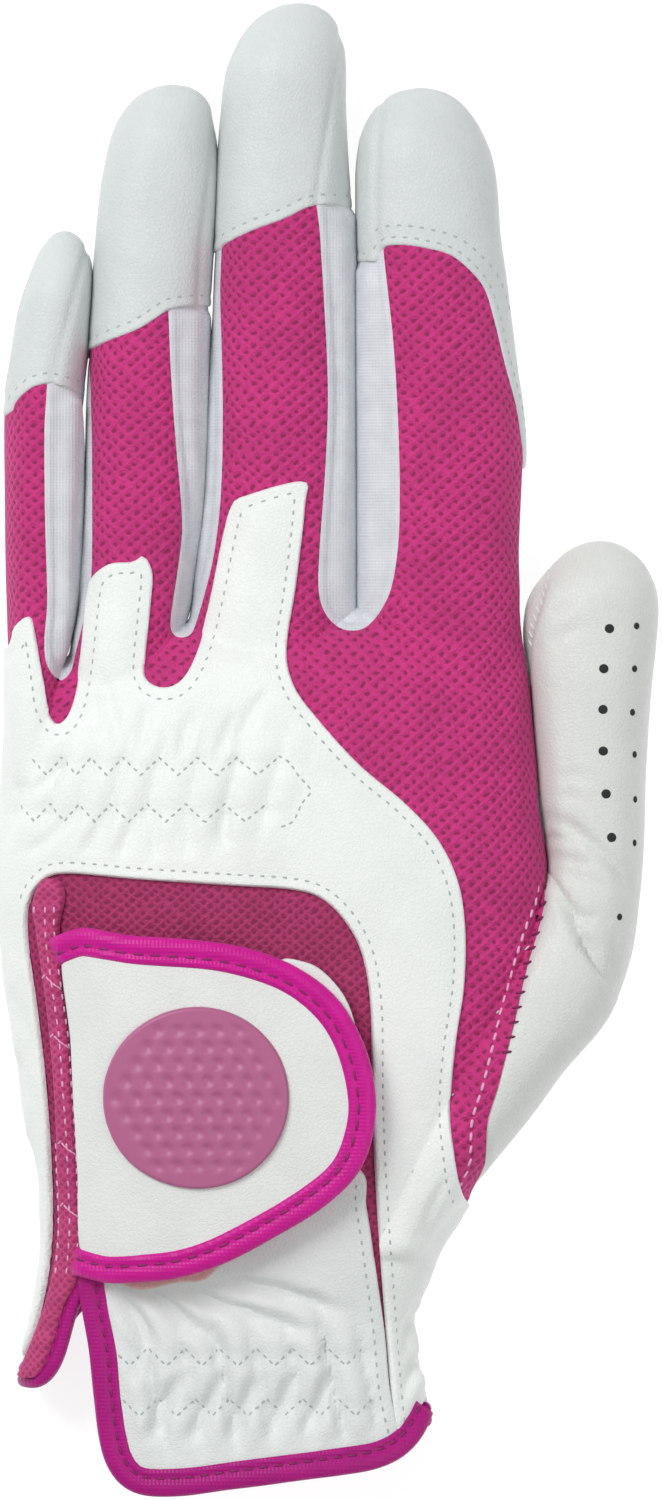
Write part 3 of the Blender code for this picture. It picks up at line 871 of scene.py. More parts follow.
def leather(name, colour, roughness=0.5):
    """Thin dressed leather: a pebbled grain of fine cells, with faint colour and gloss variation."""
    s = Shader(name, colour, roughness, specular_ior_level=0.35)
    place = s.rest()
    cells = s.node("ShaderNodeTexVoronoi", {"Vector": place, "Scale": 1.5}, feature="DISTANCE_TO_EDGE")
    grain = s.add(s.ramp(cells.outputs["Distance"], 0.0, 0.22), s.times(s.noise(place, 2.6, 3), 0.6))
    soft = s.noise(place, 0.12, 2)
    s.set("Base Color", s.varied(soft, colour, 0.96))
    s.set("Roughness", s.ramp(s.noise(place, 0.5, 3), 0.3, 0.7, roughness - 0.07, roughness + 0.1))
    s.set("Normal", s.bump(grain, 0.035, normal=s.bump(soft, 0.25)))
    return s.material


def knit(name, colour, hole_shade, across, along, depth=0.3):
    """Spacer mesh: two staggered rows of oval dimples between soft ribs of yarn, the dimples painted in a darker
    colour as painted shade.
    """
    s = Shader(name, colour, 0.78, sheen_weight=0.35, sheen_roughness=0.45, sheen_tint=srgb(255, 150, 205))
    warp = s.times(s.noise(s.rest(), 0.35, 2), 0.9)
    cloth = s.node("ShaderNodeSeparateXYZ", {0: s.weave()})
    u, v = (s.add(s.math("DIVIDE", cloth.outputs[i], size), warp) for i, size in enumerate((across, along)))

    def dimples(shift):
        """How far a place is from the nearest dimple of one row, in dimple sizes."""
        from_middle = (s.math("SUBTRACT", s.math("FRACT", s.add(value, shift)), 0.5) for value in (u, v))
        du, dv = (s.times(value, scale) for value, scale in zip(from_middle, (across / 0.62, along / 0.5)))
        return s.math("SQRT", s.add(s.times(du, du), s.times(dv, dv)))

    yarn = s.noise(s.rest(), 3.2, 2)
    away = s.add(s.math("MINIMUM", dimples(20.0), dimples(20.5)), s.times(s.math("SUBTRACT", yarn, 0.5), 0.5))
    # Painted shade: the dimples take the darker hole colour, standing for the shade inside them
    painted_hole_shade = s.times(s.ramp(away, 0.3, 0.85, 1.0, 0.0), 0.85)
    s.set("Base Color", s.mix(painted_hole_shade, s.varied(s.noise(s.rest(), 0.12, 3), colour, 0.86), hole_shade))
    s.set("Normal", s.bump(s.add(s.ramp(away, 0.3, 1.9), s.times(yarn, 0.35)), depth))
    return s.material


def jersey(name, colour, roughness=0.7, scale=2.2, sheen=0.25):
    """Fine stretch fabric with close ribs."""
    s = Shader(name, colour, roughness, specular_ior_level=0.3, sheen_weight=sheen, sheen_roughness=0.4)
    place = s.rest()
    parts = s.node("ShaderNodeSeparateXYZ", {0: place})
    ribs, rows = (
        s.times(s.math("SINE", s.times(parts.outputs[i], 2 * math.pi * scale)), 0.5) for i in range(2)
    )
    cloth = s.add(s.add(ribs, rows), s.times(s.noise(place, 3.0, 2), 0.8))
    s.set("Base Color", s.varied(s.noise(place, 0.3, 3), colour, 0.9))
    s.set("Normal", s.bump(cloth, 0.03))
    return s.material


def fuzz(name, colour, scale=1.1):
    """The pile of hook or loop tape."""
    s = Shader(name, colour, 0.9, sheen_weight=0.5, sheen_roughness=0.6)
    pile = s.noise(s.rest(), scale * 2, 4, 0.7)
    s.set("Base Color", s.mix(pile, darker(colour, 0.7), colour))
    s.set("Normal", s.bump(pile, 0.5))
    return s.material


def plain(name, colour, roughness, depth=0.05):
    """Moulded or twisted material with a slight unevenness."""
    s = Shader(name, colour, roughness)
    place = s.rest()
    s.set("Base Color", s.mix(s.noise(place, 0.8, 2), darker(colour, 0.92), colour))
    s.set("Normal", s.bump(s.noise(place, 1.6, 3), depth))
    return s.material


WHITE = leather("white_leather", srgb(236, 240, 237))
CAP_WHITE = leather("fingertip_leather", srgb(209, 214, 214), 0.47)
THUMB_WHITE = leather("thumb_leather", srgb(216, 219, 215), 0.42)
# The second colour of each knit is painted shade inside its dimples
MESH = knit("back_mesh", srgb(206, 46, 128), srgb(122, 10, 66), 2.1, 1.85)
WINDOW_MESH = knit("wrist_mesh", srgb(176, 48, 104), srgb(112, 16, 64), 1.75, 1.5)
STRIP_MESH = knit("strip_mesh", srgb(196, 66, 122), srgb(150, 34, 92), 1.5, 1.3, 0.2)
LYCRA = jersey("web_lycra", srgb(214, 217, 222))
PIPING = jersey("binding_lycra", srgb(204, 8, 144), 0.42, 1.8, 0.1)
HEM_PIPING = jersey("hem_lycra", srgb(172, 4, 124), 0.45, 1.8, 0.1)
WRIST_WHITE = leather("wrist_leather", srgb(226, 230, 228))
TAB_WHITE = leather("tab_leather", srgb(226, 229, 226), 0.5)
EMBLEM_RUBBER = plain("emblem_rubber", srgb(178, 96, 138), 0.45, 0.04)
HOOKS = fuzz("hook_pile", srgb(240, 180, 176))
LOOPS = fuzz("loop_pile", srgb(226, 226, 230), 0.8)
THREAD = plain("white_thread", srgb(222, 226, 224), 0.6)
# Painted shade: white thread coloured grey for the shade of its needle holes
SHADED_THREAD = plain("sunk_thread", srgb(176, 186, 182), 0.9)
# Painted shade: dark spots that stand for the shade inside the thumb's holes
VENT_SHADE = plain("vent_holes", srgb(40, 46, 44), 0.95)
PALE_THREAD = plain("pale_thread", srgb(232, 170, 205), 0.6)
BERRY_THREAD = plain("berry_thread", srgb(120, 22, 78), 0.6)
PINK_THREAD = plain("pink_thread", srgb(132, 10, 92), 0.55)
LABEL = jersey("label_satin", srgb(240, 240, 240), 0.4, 1.5, 0.1)


# ---------------------------------------------------------------- soft relief of the sewn leather


def crease(xy, points, depth, width):
    """A groove along a smooth line, fading out towards its two ends."""
    line = path_through(points, 1.0)
    gap = line_distance(xy, line, width * 4)
    ends = np.minimum(np.linalg.norm(xy - line[0], axis=1), np.linalg.norm(xy - line[-1], axis=1))
    fade = smoothstep(0, lengths_along(line)[-1] * 0.35, ends)
    return -depth * fade * bell(gap, width)


def undulation(xy, length, seed):
    """Gentle unevenness with about the given wavelength, between -1 and 1."""
    total, waves = np.zeros(len(xy)), 6
    for k in range(waves):
        turn = seed * 1.7 + k * 2.4
        way = np.array((math.cos(turn), math.sin(turn))) * 2 * math.pi / (length * (0.7 + 0.16 * k))
        total += np.sin(xy @ way + seed * 3.1 + k * 1.3)
    return total / waves


# The two elastics: where their zigzag stitches peak, the heights of the two rows, and how they slant
KNUCKLE_PEAKS = (-43.5, -39, -34.8, -30.2, -24.9, -19.4, -13.8, -7.8, -3.4)
KNUCKLE_ROWS = (-2.2, -8.9)
KNUCKLE_SLANT = 0.26
WRIST_PEAKS = (-31.9, -26.6, -21.2, -16.3, -10.9, -5.7, -0.6, 4.5, 8)
WRIST_ROWS = (-87.5, -94.8)
WRIST_SLANT = -0.2
# Folds that start at the elastics, the slit and the thumb, as lines of (x, y) points
KNUCKLE_FOLDS = [
    [(-33.4, 12.5), (-32.4, 8), (-31, 3), (-30.8, -1)], [(-25.6, 8), (-27, 3), (-27.6, -2)],
    [(-20, 6.4), (-21.2, 2), (-21.8, -2)], [(-7.8, 10), (-11.8, 5), (-15, -1)],
    [(-13.4, 6.6), (-15.8, 1), (-16.8, -3)], [(-25.2, -8), (-25.6, -12), (-25.4, -17)],
    [(-28, -8), (-29.4, -12), (-30.8, -16.6)], [(-32.4, -8), (-34, -12), (-35.8, -16)],
    [(-36.8, -8), (-40, -12), (-44.4, -15.6)], [(-20, -8), (-20.6, -12), (-20.2, -16)],
    [(-15, -8), (-15.4, -12), (-15, -15)], [(-38, 0), (-40.6, -4), (-44, -7)],
]
WRIST_FOLDS = [
    [(-34, -76), (-29, -81), (-24.5, -88)], [(-32.5, -75), (-24, -80), (-14, -88)],
    [(-28, -76), (-16, -80), (0, -85)], [(-20, -76), (-8, -78), (4, -82)],
    [(-31.5, -83), (-29, -87), (-27.4, -92)], [(-22, -89), (-23.4, -93), (-26.8, -101)],
    [(-16.6, -89), (-17.6, -94), (-21, -101)], [(-11.6, -89), (-12.4, -94), (-15, -101)],
    [(-6, -89), (-7, -94), (-9, -100)], [(-0.8, -89), (-1.8, -94), (-3.4, -99)],
    [(12.6, -80), (10.4, -84), (9.8, -90)], [(14, -88), (11, -90), (10, -96)],
]
SIDE_FOLDS = [
    [(-45.8, -25), (-44.9, -29), (-44, -33)], [(-45.8, -33), (-44.8, -38), (-43, -41.6)],
    [(-45, -43), (-43.8, -48), (-42.2, -52)], [(-43.8, -55), (-42.2, -60), (-41.2, -65)],
    [(-42.6, -66), (-41.4, -71), (-41.2, -77)], [(19, -58), (15, -64), (11.6, -72)],
]
# The seams between each fingertip's face and its side: digit, which side is lower, (y, x) pairs
CAP_SEAMS = [
    ("middle", 1, ((80, -2.3), (91, -0.8), (100, 0.4), (106, 1.2))),
    ("ring", 1, ((64, -19.6), (72, -19.3), (82, -18.2), (94, -17.2))),
    ("pinky", 1, ((52, -40.8), (59, -39.2), (68, -37), (75, -35.4))),
    ("index", -1, ((71, 6.8), (80, 6.6), (88, 6.8), (95, 7.6))),
]
# Folds of the palm leather, each with its depth and width
THUMB_FOLDS = [
    ([(29.5, -8.8), (33.4, -10.3), (36.1, -12.2), (39.1, -14.7), (41.2, -17), (42.6, -19.3), (44, -23)], 0.5, 0.8),
    (
        [
            (30.2, -16), (31, -17.4), (32.3, -19.8), (34, -22.7), (35.3, -25.6), (37, -29), (38.8, -31.8),
            (41, -35.4),
        ], 0.75, 0.6,
    ),
    ([(33.6, -22.2), (36.1, -23.9), (39, -24.4)], 0.45, 0.7),
    ([(40.6, -25), (41, -29.4), (40.4, -34.6)], 0.3, 0.8),
    ([(30.5, -12.4), (33, -12.6), (36, -13.2)], 0.25, 0.6),
    ([(31, -15), (34.5, -15.8), (38.4, -17)], 0.25, 0.7),
    ([(31.6, -17), (35.6, -18.2), (40.4, -20.6)], 0.22, 0.7),
    ([(35.4, -26.8), (37.2, -28), (38.9, -30)], 0.3, 0.6),
    ([(32.4, 28.4), (31.2, 25.4), (30.4, 22.1), (29.1, 18.1), (28.5, 13.9), (28.8, 8), (29.6, 2)], 0.4, 0.5),
    ([(31, 19), (33.6, 21), (37, 23)], 0.15, 1.0), ([(31, 15), (34, 17), (37.4, 18)], 0.15, 1.0),
    ([(31, -4), (35, -3.6), (38.6, -4.6)], 0.12, 0.8), ([(31, -6.6), (35, -6.6), (39, -8)], 0.14, 0.8),
]
THUMB_FOLD_SCALE = 1.7


def gathers(xy, peaks, rows, slant, reach, depth):
    """Puffed folds that an elastic pulls up between and around its two rows of stitches."""
    x = xy[:, 0] - slant * (xy[:, 1] - rows[0])
    count = np.interp(x, peaks, np.arange(len(peaks)))
    inside = smoothstep(peaks[0] - 2, peaks[0] + 1, x) * (1 - smoothstep(peaks[-1] - 3, peaks[-1] + 1, x))
    up = np.maximum(np.maximum(xy[:, 1] - rows[0], rows[1] - xy[:, 1]), 0)
    fold = np.abs(np.sin(math.pi * count))**0.7
    sway = 1 + 0.35 * np.sin(count * 2.3 + 0.4)
    rows_pull = sum(bell(xy[:, 1] - row, 1.3) for row in rows)
    return inside * (depth * bell(up, reach) * (fold - 0.6) * sway - 0.28 * rows_pull)


def relief(xy):
    """Folds and unevenness of the white leather on the back, in millimetres."""
    made = 0.12 * undulation(xy, 30, 1)
    made += gathers(xy, KNUCKLE_PEAKS, KNUCKLE_ROWS, KNUCKLE_SLANT, 4.5, 0.8)
    made += gathers(xy, WRIST_PEAKS, WRIST_ROWS, WRIST_SLANT, 6, 1.7)
    for folds, depth, width in ((KNUCKLE_FOLDS, 0.7, 0.9), (SIDE_FOLDS, 0.6, 0.7), (WRIST_FOLDS, 1.6, 1.1)):
        for fold in folds:
            made += crease(xy, fold, depth, width)
    return made


# ---------------------------------------------------------------- panels

OUTSIDE = -9.0      # a field's value well outside its panel
OVERLAP = 1.4       # how far the mesh runs on under the leather sewn to it


def fields_of(skin):
    """Every panel's outline as a field over the skin, above zero inside the panel."""
    xy, z = skin["v"][:, :2], skin["v"][:, 2]
    skin["side"] = z - spline(SIDE_SEAM, xy[:, 1])
    turned_under = np.where(xy[:, 0] > 14, -4 * skin["n"][:, 2] - 0.6, OUTSIDE)
    skin["seam"] = np.maximum(beyond(xy, KNIT_EDGE), turned_under)
    skin["yoke"] = outline_distance(xy, YOKE)
    skin["window"] = outline_distance(xy, WINDOW)
    skin["wrist"] = outline_distance(xy, WRIST)
    skin["web"] = np.max([outline_distance(xy, w) for w in WEBS], axis=0)
    fields = digit_fields(xy)
    skin["cap"] = np.full(len(xy), OUTSIDE)
    for digit in CAP_EDGES:
        found = outline_distance(xy, cap_outline(digit))
        skin["cap"] = np.where(fields[digit] > 0, found, skin["cap"])
    skin["floor"] = z - WEB_FLOOR
    return skin


def trimmed(skin):
    """The skin with its cuff opened: the back ends at its hem and slit, the palm at its own hem."""
    skin = dict(skin)
    skin["back_edge"] = outline_distance(skin["v"][:, :2], BACK_KEPT)
    skin["palm_edge"] = skin["v"][:, 1] - spline(PALM_HEM, skin["v"][:, 0])
    low, _ = split(skin, skin["side"])
    upper = compact(low, low["side"][low["t"]].max(axis=1) > 0)
    lower = compact(low, low["side"][low["t"]].max(axis=1) <= 0)
    return kept(upper, upper["back_edge"]), kept(lower, lower["palm_edge"])


def merged(a, b):
    """Two pieces of the same skin as one, with their shared points joined."""
    made = {k: np.concatenate((a[k], b[k])) for k in a if k != "t"}
    t = np.concatenate((a["t"], b["t"] + len(a["v"])))
    _, first, index = np.unique(np.round(made["v"], 5), axis=0, return_index=True, return_inverse=True)
    return {"t": index.ravel()[t], **{k: v[first] for k, v in made.items()}}


def weave_map(skin):
    """Flat cloth coordinates: across the glove, and round its sides."""
    v, n = skin["v"], skin["n"]
    drop = np.maximum(spline(TOP_HAND, v[:, 1]) * 0.82 - v[:, 2], 0)
    skin["uv"] = np.stack((v[:, 0] + np.sign(n[:, 0]) * drop * np.abs(n[:, 0]), v[:, 1]), axis=1)
    return skin


def build(name, skin, material, slot, patterns=(), palm=()):
    """Makes a panel's objects, one for each body or joint that it follows.

    They stand for the CAD nodes named: patterns on the digits, palm on the palm.
    """
    for digit, part, piece in by_body(skin):
        shell = shell_object(piece_name(name, digit, part), piece, material, slot)
        follow(shell, digit, part)
        names = palm if digit is None else [p.format(digit=digit, part=part) for p in patterns]
        nodes = [n for n in names if n in frame["nodes"]]
        if nodes:
            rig.replaces(shell, *nodes)


def sewn_rim(edge, height, radius, dent):
    """The height of a turned edge, pressed down a little along its row of stitches."""
    return rounded_rim(edge, height, radius) - dent * bell(edge - 1.6, 0.5)


def thumb_side(v, facing):
    """1 on the walls on both sides of the gap between the hand and the thumb."""
    near = smoothstep(24, 26, v[:, 0]) * (1 - smoothstep(33, 35, v[:, 0]))
    return near * smoothstep(0.3, 0.7, facing) * smoothstep(-22, -16, v[:, 1]) * (1 - smoothstep(22, 30, v[:, 1]))


def back_mesh(upper):
    """The magenta mesh of the back and the fingers."""
    tuck = 1.2 * smoothstep(0.5, 2, upper["side"])
    value = np.min([-upper["seam"], OVERLAP - upper["yoke"], -upper["web"], tuck - upper["cap"]], axis=0)
    skin = kept(upper, value)
    lift = 0.25 * (1 - np.exp(-np.maximum(-skin["web"], 0) / 0.8)) + 0.1 * undulation(skin["v"][:, :2], 22, 4)
    lift += 0.4 * thumb_side(skin["v"], skin["n"][:, 0])
    skin = panel(skin, lift, 0.8)
    build("back_mesh", skin, MESH, "knit", ("{digit}_knit_{part}",), ("back_knit",))


def window_mesh(upper):
    """The finer mesh under the closing tab."""
    skin = kept(upper, np.minimum(upper["window"] + OVERLAP, 1.6 - upper["wrist"]))
    skin = panel(skin, 0.2 * undulation(skin["v"][:, :2], 7, 7) - 0.15, 0.7)
    build("window_mesh", skin, WINDOW_MESH, "knit")


def webs(whole):
    """The stretch strips between the fingers, round the crotches."""
    skin = kept(whole, np.min([whole["web"], whole["floor"], 0.8 - whole["cap"]], axis=0))
    skin = edge_rings(skin, "web", (0.25, 0.7, 1.2))
    edge = skin["web"]
    roll = 0.1 * bell(edge - 0.5, 0.35) - 0.1 * smoothstep(0.9, 1.5, edge)
    # The walls stand proud of the gaps, so that no ground shows between the fingers
    wall = smoothstep(0.5, 0.85, np.hypot(skin["n"][:, 0], skin["n"][:, 1])) * smoothstep(0, 1.6, -skin["cap"])
    fullness = 0.75 + 0.35 * (1 - smoothstep(-30, -26, skin["v"][:, 0]))
    skin = panel(skin, roll + fullness * wall * smoothstep(1.2, 2.2, edge), 0.6)
    build(
        "web", skin, LYCRA, "lycra", ("{digit}_web_left_{part}", "{digit}_web_right_{part}"),
        ("web_pinky_ring", "web_ring_middle", "web_middle_index"),
    )


def caps(whole):
    """The white leather fingertips, turned under along their lower edges."""
    skin = kept(whole, np.minimum(whole["cap"], whole["v"][:, 2] - spline(SIDE_SEAM, whole["v"][:, 1])))
    skin = edge_rings(skin, "cap", (0.12, 0.3, 0.6))
    xy = skin["v"][:, :2]
    lift = sewn_rim(skin["cap"], 0.5, 0.45, 0.12)
    lift += 0.1 * undulation(xy, 15, 3) * smoothstep(0, 3, skin["cap"])
    fields = digit_fields(xy)
    for digit, side, seam in CAP_SEAMS:
        away = side * beyond(xy, seam)
        start, end, fade = seam[0][0], seam[-1][0], 4
        along = smoothstep(start - fade, start, xy[:, 1]) * (1 - smoothstep(end, end + fade, xy[:, 1]))
        dip = 0.5 * smoothstep(0, 5, away) + 0.35 * bell(away, 0.45)
        lift -= np.where(fields[digit] > 0, along * dip, 0)
    lift *= smoothstep(-0.2, 1.2, skin["side"])
    skin = panel(skin, lift, 0.05)
    skin["inner"] = skin["v"] - skin["n"] * 0.75 * smoothstep(1.3, 1.8, skin["cap"])[:, None] + skin["n"] * 0.02
    build("cap", skin, CAP_WHITE, "leather", ("{digit}_cap",))
    return skin


def yoke(upper):
    """The white leather laid over the mesh: three prongs, the knuckles and the two sides of the window."""
    edge = np.minimum(upper["yoke"], -upper["window"])
    skin = kept({**upper, "edge": edge}, edge)
    skin = edge_rings(skin, "edge", (0.1, 0.3, 0.6))
    xy = skin["v"][:, :2]
    lift = sewn_rim(skin["edge"], 0.85, 0.4, 0.1)
    lift += relief(xy) * smoothstep(0, 4, skin["edge"]) * smoothstep(1.5, 5, skin["back_edge"])
    lift *= smoothstep(0, 2.4, skin["back_edge"])
    lift *= smoothstep(-0.2, 1.5, skin["side"])
    skin = panel(skin, lift, 0.05)
    skin["inner"] = skin["v"] + skin["n"] * 0.05 - skin["n"] * 0.7 * smoothstep(1.5, 2.0, skin["edge"])[:, None]
    build("yoke", skin, WHITE, "leather", palm=("back_overlay", "knuckle_elastic"))
    return skin


def wrist_panel(upper):
    """The white leather below the tab, gathered by the wrist elastic."""
    skin = kept(upper, upper["wrist"])
    skin = edge_rings(skin, "wrist", (0.12, 0.35, 0.8))
    xy = skin["v"][:, :2]
    folds = relief(xy) * smoothstep(0, 3, skin["wrist"]) * smoothstep(1.8, 5, skin["back_edge"])
    lift = (rounded_rim(skin["wrist"], 0.7, 0.4) + folds) * smoothstep(0, 2.4, skin["back_edge"])
    skin = panel(skin, lift, 0.05)
    skin["inner"] = skin["v"] - skin["n"] * 0.6
    build("wrist_leather", skin, WRIST_WHITE, "leather", palm=("wrist_panel", "wrist_elastic"))
    return skin


def palm(whole):
    """The palm leather, which turns up over the thumb and the outer side of the forefinger."""
    low = np.maximum(-whole["side"], whole["seam"])
    strip = np.min([whole["web"], whole["floor"], -whole["cap"]], axis=0)
    covered = np.where(whole["side"] > 0, whole["cap"], OUTSIDE)
    inner = np.minimum(outline_distance(whole["v"][:, :2], THUMB_BASE), whole["side"])
    keep = np.min([low, -strip, -covered], axis=0)
    whole = {**whole, "low": low, "inner": inner}
    skin = kept(whole, np.minimum(keep, 1 - inner))
    made = palm_panel("palm", skin, 0, ("{digit}_palm_{part}", "{digit}_{part}"), ("palm_leather",))
    skin = edge_rings(kept(whole, np.minimum(keep, inner)), "inner", (0.12, 0.35))
    palm_panel("thumb_base", skin, 0.4, (), ("thumb_base",))
    return made


def palm_panel(name, skin, rim, patterns, nodes):
    """One piece of the palm leather, with the folds of the thumb and a turned edge of height rim."""
    xy = skin["v"][:, :2]
    lift = -0.35 * bell(skin["low"], 0.5) + 0.08 * undulation(xy, 18, 5)
    upward = smoothstep(0, 0.35, skin["n"][:, 2])
    for fold, depth, width in THUMB_FOLDS:
        lift += crease(xy, fold, depth * THUMB_FOLD_SCALE, width) * upward
    lift += 0.4 * thumb_side(skin["v"], -skin["n"][:, 0])
    lift += rounded_rim(skin["inner"], rim, 0.3) * (0.3 + 0.7 * upward)
    skin = panel(skin, lift, 0.8)
    build(name, skin, THUMB_WHITE, "leather", patterns, nodes)
    return skin


# ---------------------------------------------------------------- threads, holes and bindings


class Surface:
    """A surface that points are dropped onto from above."""

    def __init__(self, points, triangles):
        self.triangles = triangles
        self.normal = vertex_normals(points, triangles)
        self.tree = BVHTree.FromPolygons(points.tolist(), triangles.tolist())

    def cast(self, origins, ways):
        """Where rays hit: places, normals, and which rays hit at all."""
        places, normals, hits = np.zeros((len(origins), 3)), np.tile((0.0, 0, 1), (len(origins), 1)), []
        for i, (origin, way) in enumerate(zip(origins, ways)):
            place, _, index, _ = self.tree.ray_cast(Vector(origin), Vector(way))
            hits.append(index is not None)
            if index is not None:
                places[i] = place
                normals[i] = self.normal[self.triangles[index]].mean(axis=0)
        return places, unit(normals), np.array(hits, bool)

    def drop(self, xy):
        """Where points land that fall straight down from well above."""
        origins = np.column_stack((xy, np.full(len(xy), 60.0)))
        return self.cast(origins, np.tile((0.0, 0, -1), (len(xy), 1)))


def frames(ways, normals):
    """Unit vectors along, across and up for each place."""
    across = unit(np.cross(normals, ways))
    return np.stack((np.cross(across, normals), across, normals), axis=1)


def circle(columns):
    """Points round a unit circle."""
    turn = np.arange(columns) * 2 * math.pi / columns
    return np.column_stack((np.cos(turn), np.sin(turn)))


def small_solid(rings, ends):
    """A closed solid of triangles from rings of points, with its ends drawn out to two points."""
    points, faces = tube(rings)
    points[-2:] = ends
    triangles = [part for f in faces for part in ([f[:3], (f[0], *f[2:])] if len(f) == 4 else [f])]
    return points, np.array(triangles)[:, ::-1]


def capsule(length, width, height):
    """A stitch: a flattened round-ended thread along X, as points and faces."""
    ring = circle(6) * (width / 2, height)
    stations_at = ((-0.5, 0.45), (-0.36, 0.95), (0.36, 0.95), (0.5, 0.45))
    rings = [np.column_stack((np.full(len(ring), length * x), ring * size)) for x, size in stations_at]
    return small_solid(rings, [(-0.54 * length, 0, 0), (0.54 * length, 0, 0)])


def button(radius, height, columns):
    """A low round spot, as points and faces."""
    ring = circle(columns) * radius
    rings = [np.column_stack((ring * size, np.full(columns, z))) for size, z in ((1, -height), (0.75, height))]
    return small_solid(rings, [(0, 0, -height), (0, 0, height)])


class Scatter:
    """Many small copies, gathered into one object for each body or joint that they follow."""

    def __init__(self, name, material, slot):
        self.name, self.material, self.slot = name, material, slot
        self.batches = []

    def add(self, template, centres, ways, normals, sink=0.0):
        points, faces = template
        if len(centres):
            base = centres - normals * sink
            placed = base[:, None] + np.einsum("kj,nji->nki", points, frames(ways, normals))
            self.batches.append((base, placed, faces))

    def drape(self, surface, template, place, way, sink):
        """Copies at flat places, dropped onto the surface."""
        spots, normals, hit = surface.drop(place)
        ways = np.column_stack((way, np.zeros(len(way))))
        self.add(template, spots[hit], ways[hit], normals[hit], sink)

    def along(self, surface, template, path, pitch, sink=0.0):
        """Copies every pitch along a flat path, dropped onto the surface."""
        self.drape(surface, template, *even_points(path, pitch), sink)

    def finish(self, body=None):
        """Makes the objects; with a body given, one that follows it."""
        groups = {}
        for base, placed, faces in self.batches:
            fields = digit_fields(base[:, :2])
            for i in range(len(base)):
                key = (None, body or "palm")
                for digit, values in fields.items():
                    if body is None and values[i] > 0:
                        key = (digit, "lower" if base[i, 1] < ZONES[digit]["cut"] else "upper")
                groups.setdefault(key, []).append((placed[i], faces))
        for (digit, part), found in groups.items():
            points, faces, start = [], [], 0
            for p, f in found:
                points.append(p)
                faces.append(f + start)
                start += len(p)
            name = piece_name(self.name, digit, part)
            piece = mesh_object(name, np.vstack(points), [np.vstack(faces)], self.material, self.slot)
            follow(piece, digit, part)


def moved_in(outline, distance):
    """A closed outline's points moved inwards, or outwards where distance is below zero."""
    after = np.roll(outline, -1, axis=0)
    way = unit(after - np.roll(outline, 1, axis=0))
    area = np.sum(outline[:, 0] * after[:, 1] - after[:, 0] * outline[:, 1])
    return outline + np.column_stack((-way[:, 1], way[:, 0])) * distance * np.sign(area)


def inset(outline, distance):
    """The runs of an outline moved inwards, without the loops that this makes at corners."""
    moved = moved_in(outline, distance)
    good = outline_distance(moved, outline) > distance - 0.06
    breaks = np.flatnonzero(np.diff(good.astype(int))) + 1
    runs = [run for run, ok in zip(np.split(moved, breaks), np.split(good, breaks)) if ok[0]]
    if len(runs) > 1 and good[0] and good[-1]:
        runs[0] = np.vstack((runs.pop(), runs[0]))
    return [r for r in runs if len(r) > 3]


def evened(path, normals, rounds):
    """A path with its kinks and its normals smoothed, ends kept."""
    path, normals = path.copy(), normals.copy()
    for _ in range(rounds):
        for rows in (path, normals):
            rows[1:-1] = rows[1:-1] * 0.5 + (rows[:-2] + rows[2:]) * 0.25
    return path, unit(normals)


def sweep(path, normals, profile, widths):
    """A closed band: a profile of (across, up) carried along a path, wider or narrower as it goes."""
    rings = []
    for place, width, (_, across, up) in zip(path, widths, frames(unit(np.gradient(path, axis=0)), normals)):
        rings.append(place + profile[:, :1] * width * across + profile[:, 1:] * up)
    return tube(rings)


GROOVE = 0.34       # how deep a binding's stitches sink, as a share of its height


def band_profile(width, height, aside):
    """A rounded band with a sewn groove along its upper and lower faces, aside from the middle."""
    power = 2.6
    ring = circle(40)
    across, up = (np.sign(ring) * np.abs(ring)**(2 / power) * (width, height) / 2).T
    return np.column_stack((across, up * (1 - GROOVE * bell(across / width - aside, 0.13))))


def solid(name, points, faces, material, slot):
    """A mesh object from a tube's points and faces."""
    sizes = [np.array([f for f in faces if len(f) == corners]) for corners in (4, 3)]
    return mesh_object(name, points, sizes, material, slot, uv=points[:, :2])


def binding(name, path, normals, width, height, stitches, pitch=2.1, aside=0.0, material=PIPING):
    """A rolled lycra binding with its row of stitches sunk in the groove."""
    ripple = 1 + 0.012 * np.sin(np.arange(len(path)) * 0.31 + 1)
    points, faces = sweep(path, normals, band_profile(width, height, aside), ripple)
    piece = solid(name, points, faces, material, "piping")
    place, way = even_points(path, pitch)
    along = lengths_along(path)
    up = unit(sampled(even_places(along, pitch), along, normals))
    top = place + up * height / 2 * (1 - GROOVE) + np.cross(up, way) * aside * width
    stitches.add(capsule(pitch * 0.62, 0.52, 0.22), top, way, up, 0.02)
    return piece


# ---------------------------------------------------------------- the closing tab

TAB = closed_path(
    (-39.3, -26.4), (-27, -26.6), (-14.8, -27.7), (-6, -30.5), (-0.1, -34.7), (3.5, -39.9), (5.6, -46.3),
    (5.9, -53), (3.5, -60.2), (-2, -65.6), (-9.6, -70.2), (-17.6, -74), (-25.6, -75.8), (-36.2, -75),
    (-37.6, -60), (-38.6, -43),
)
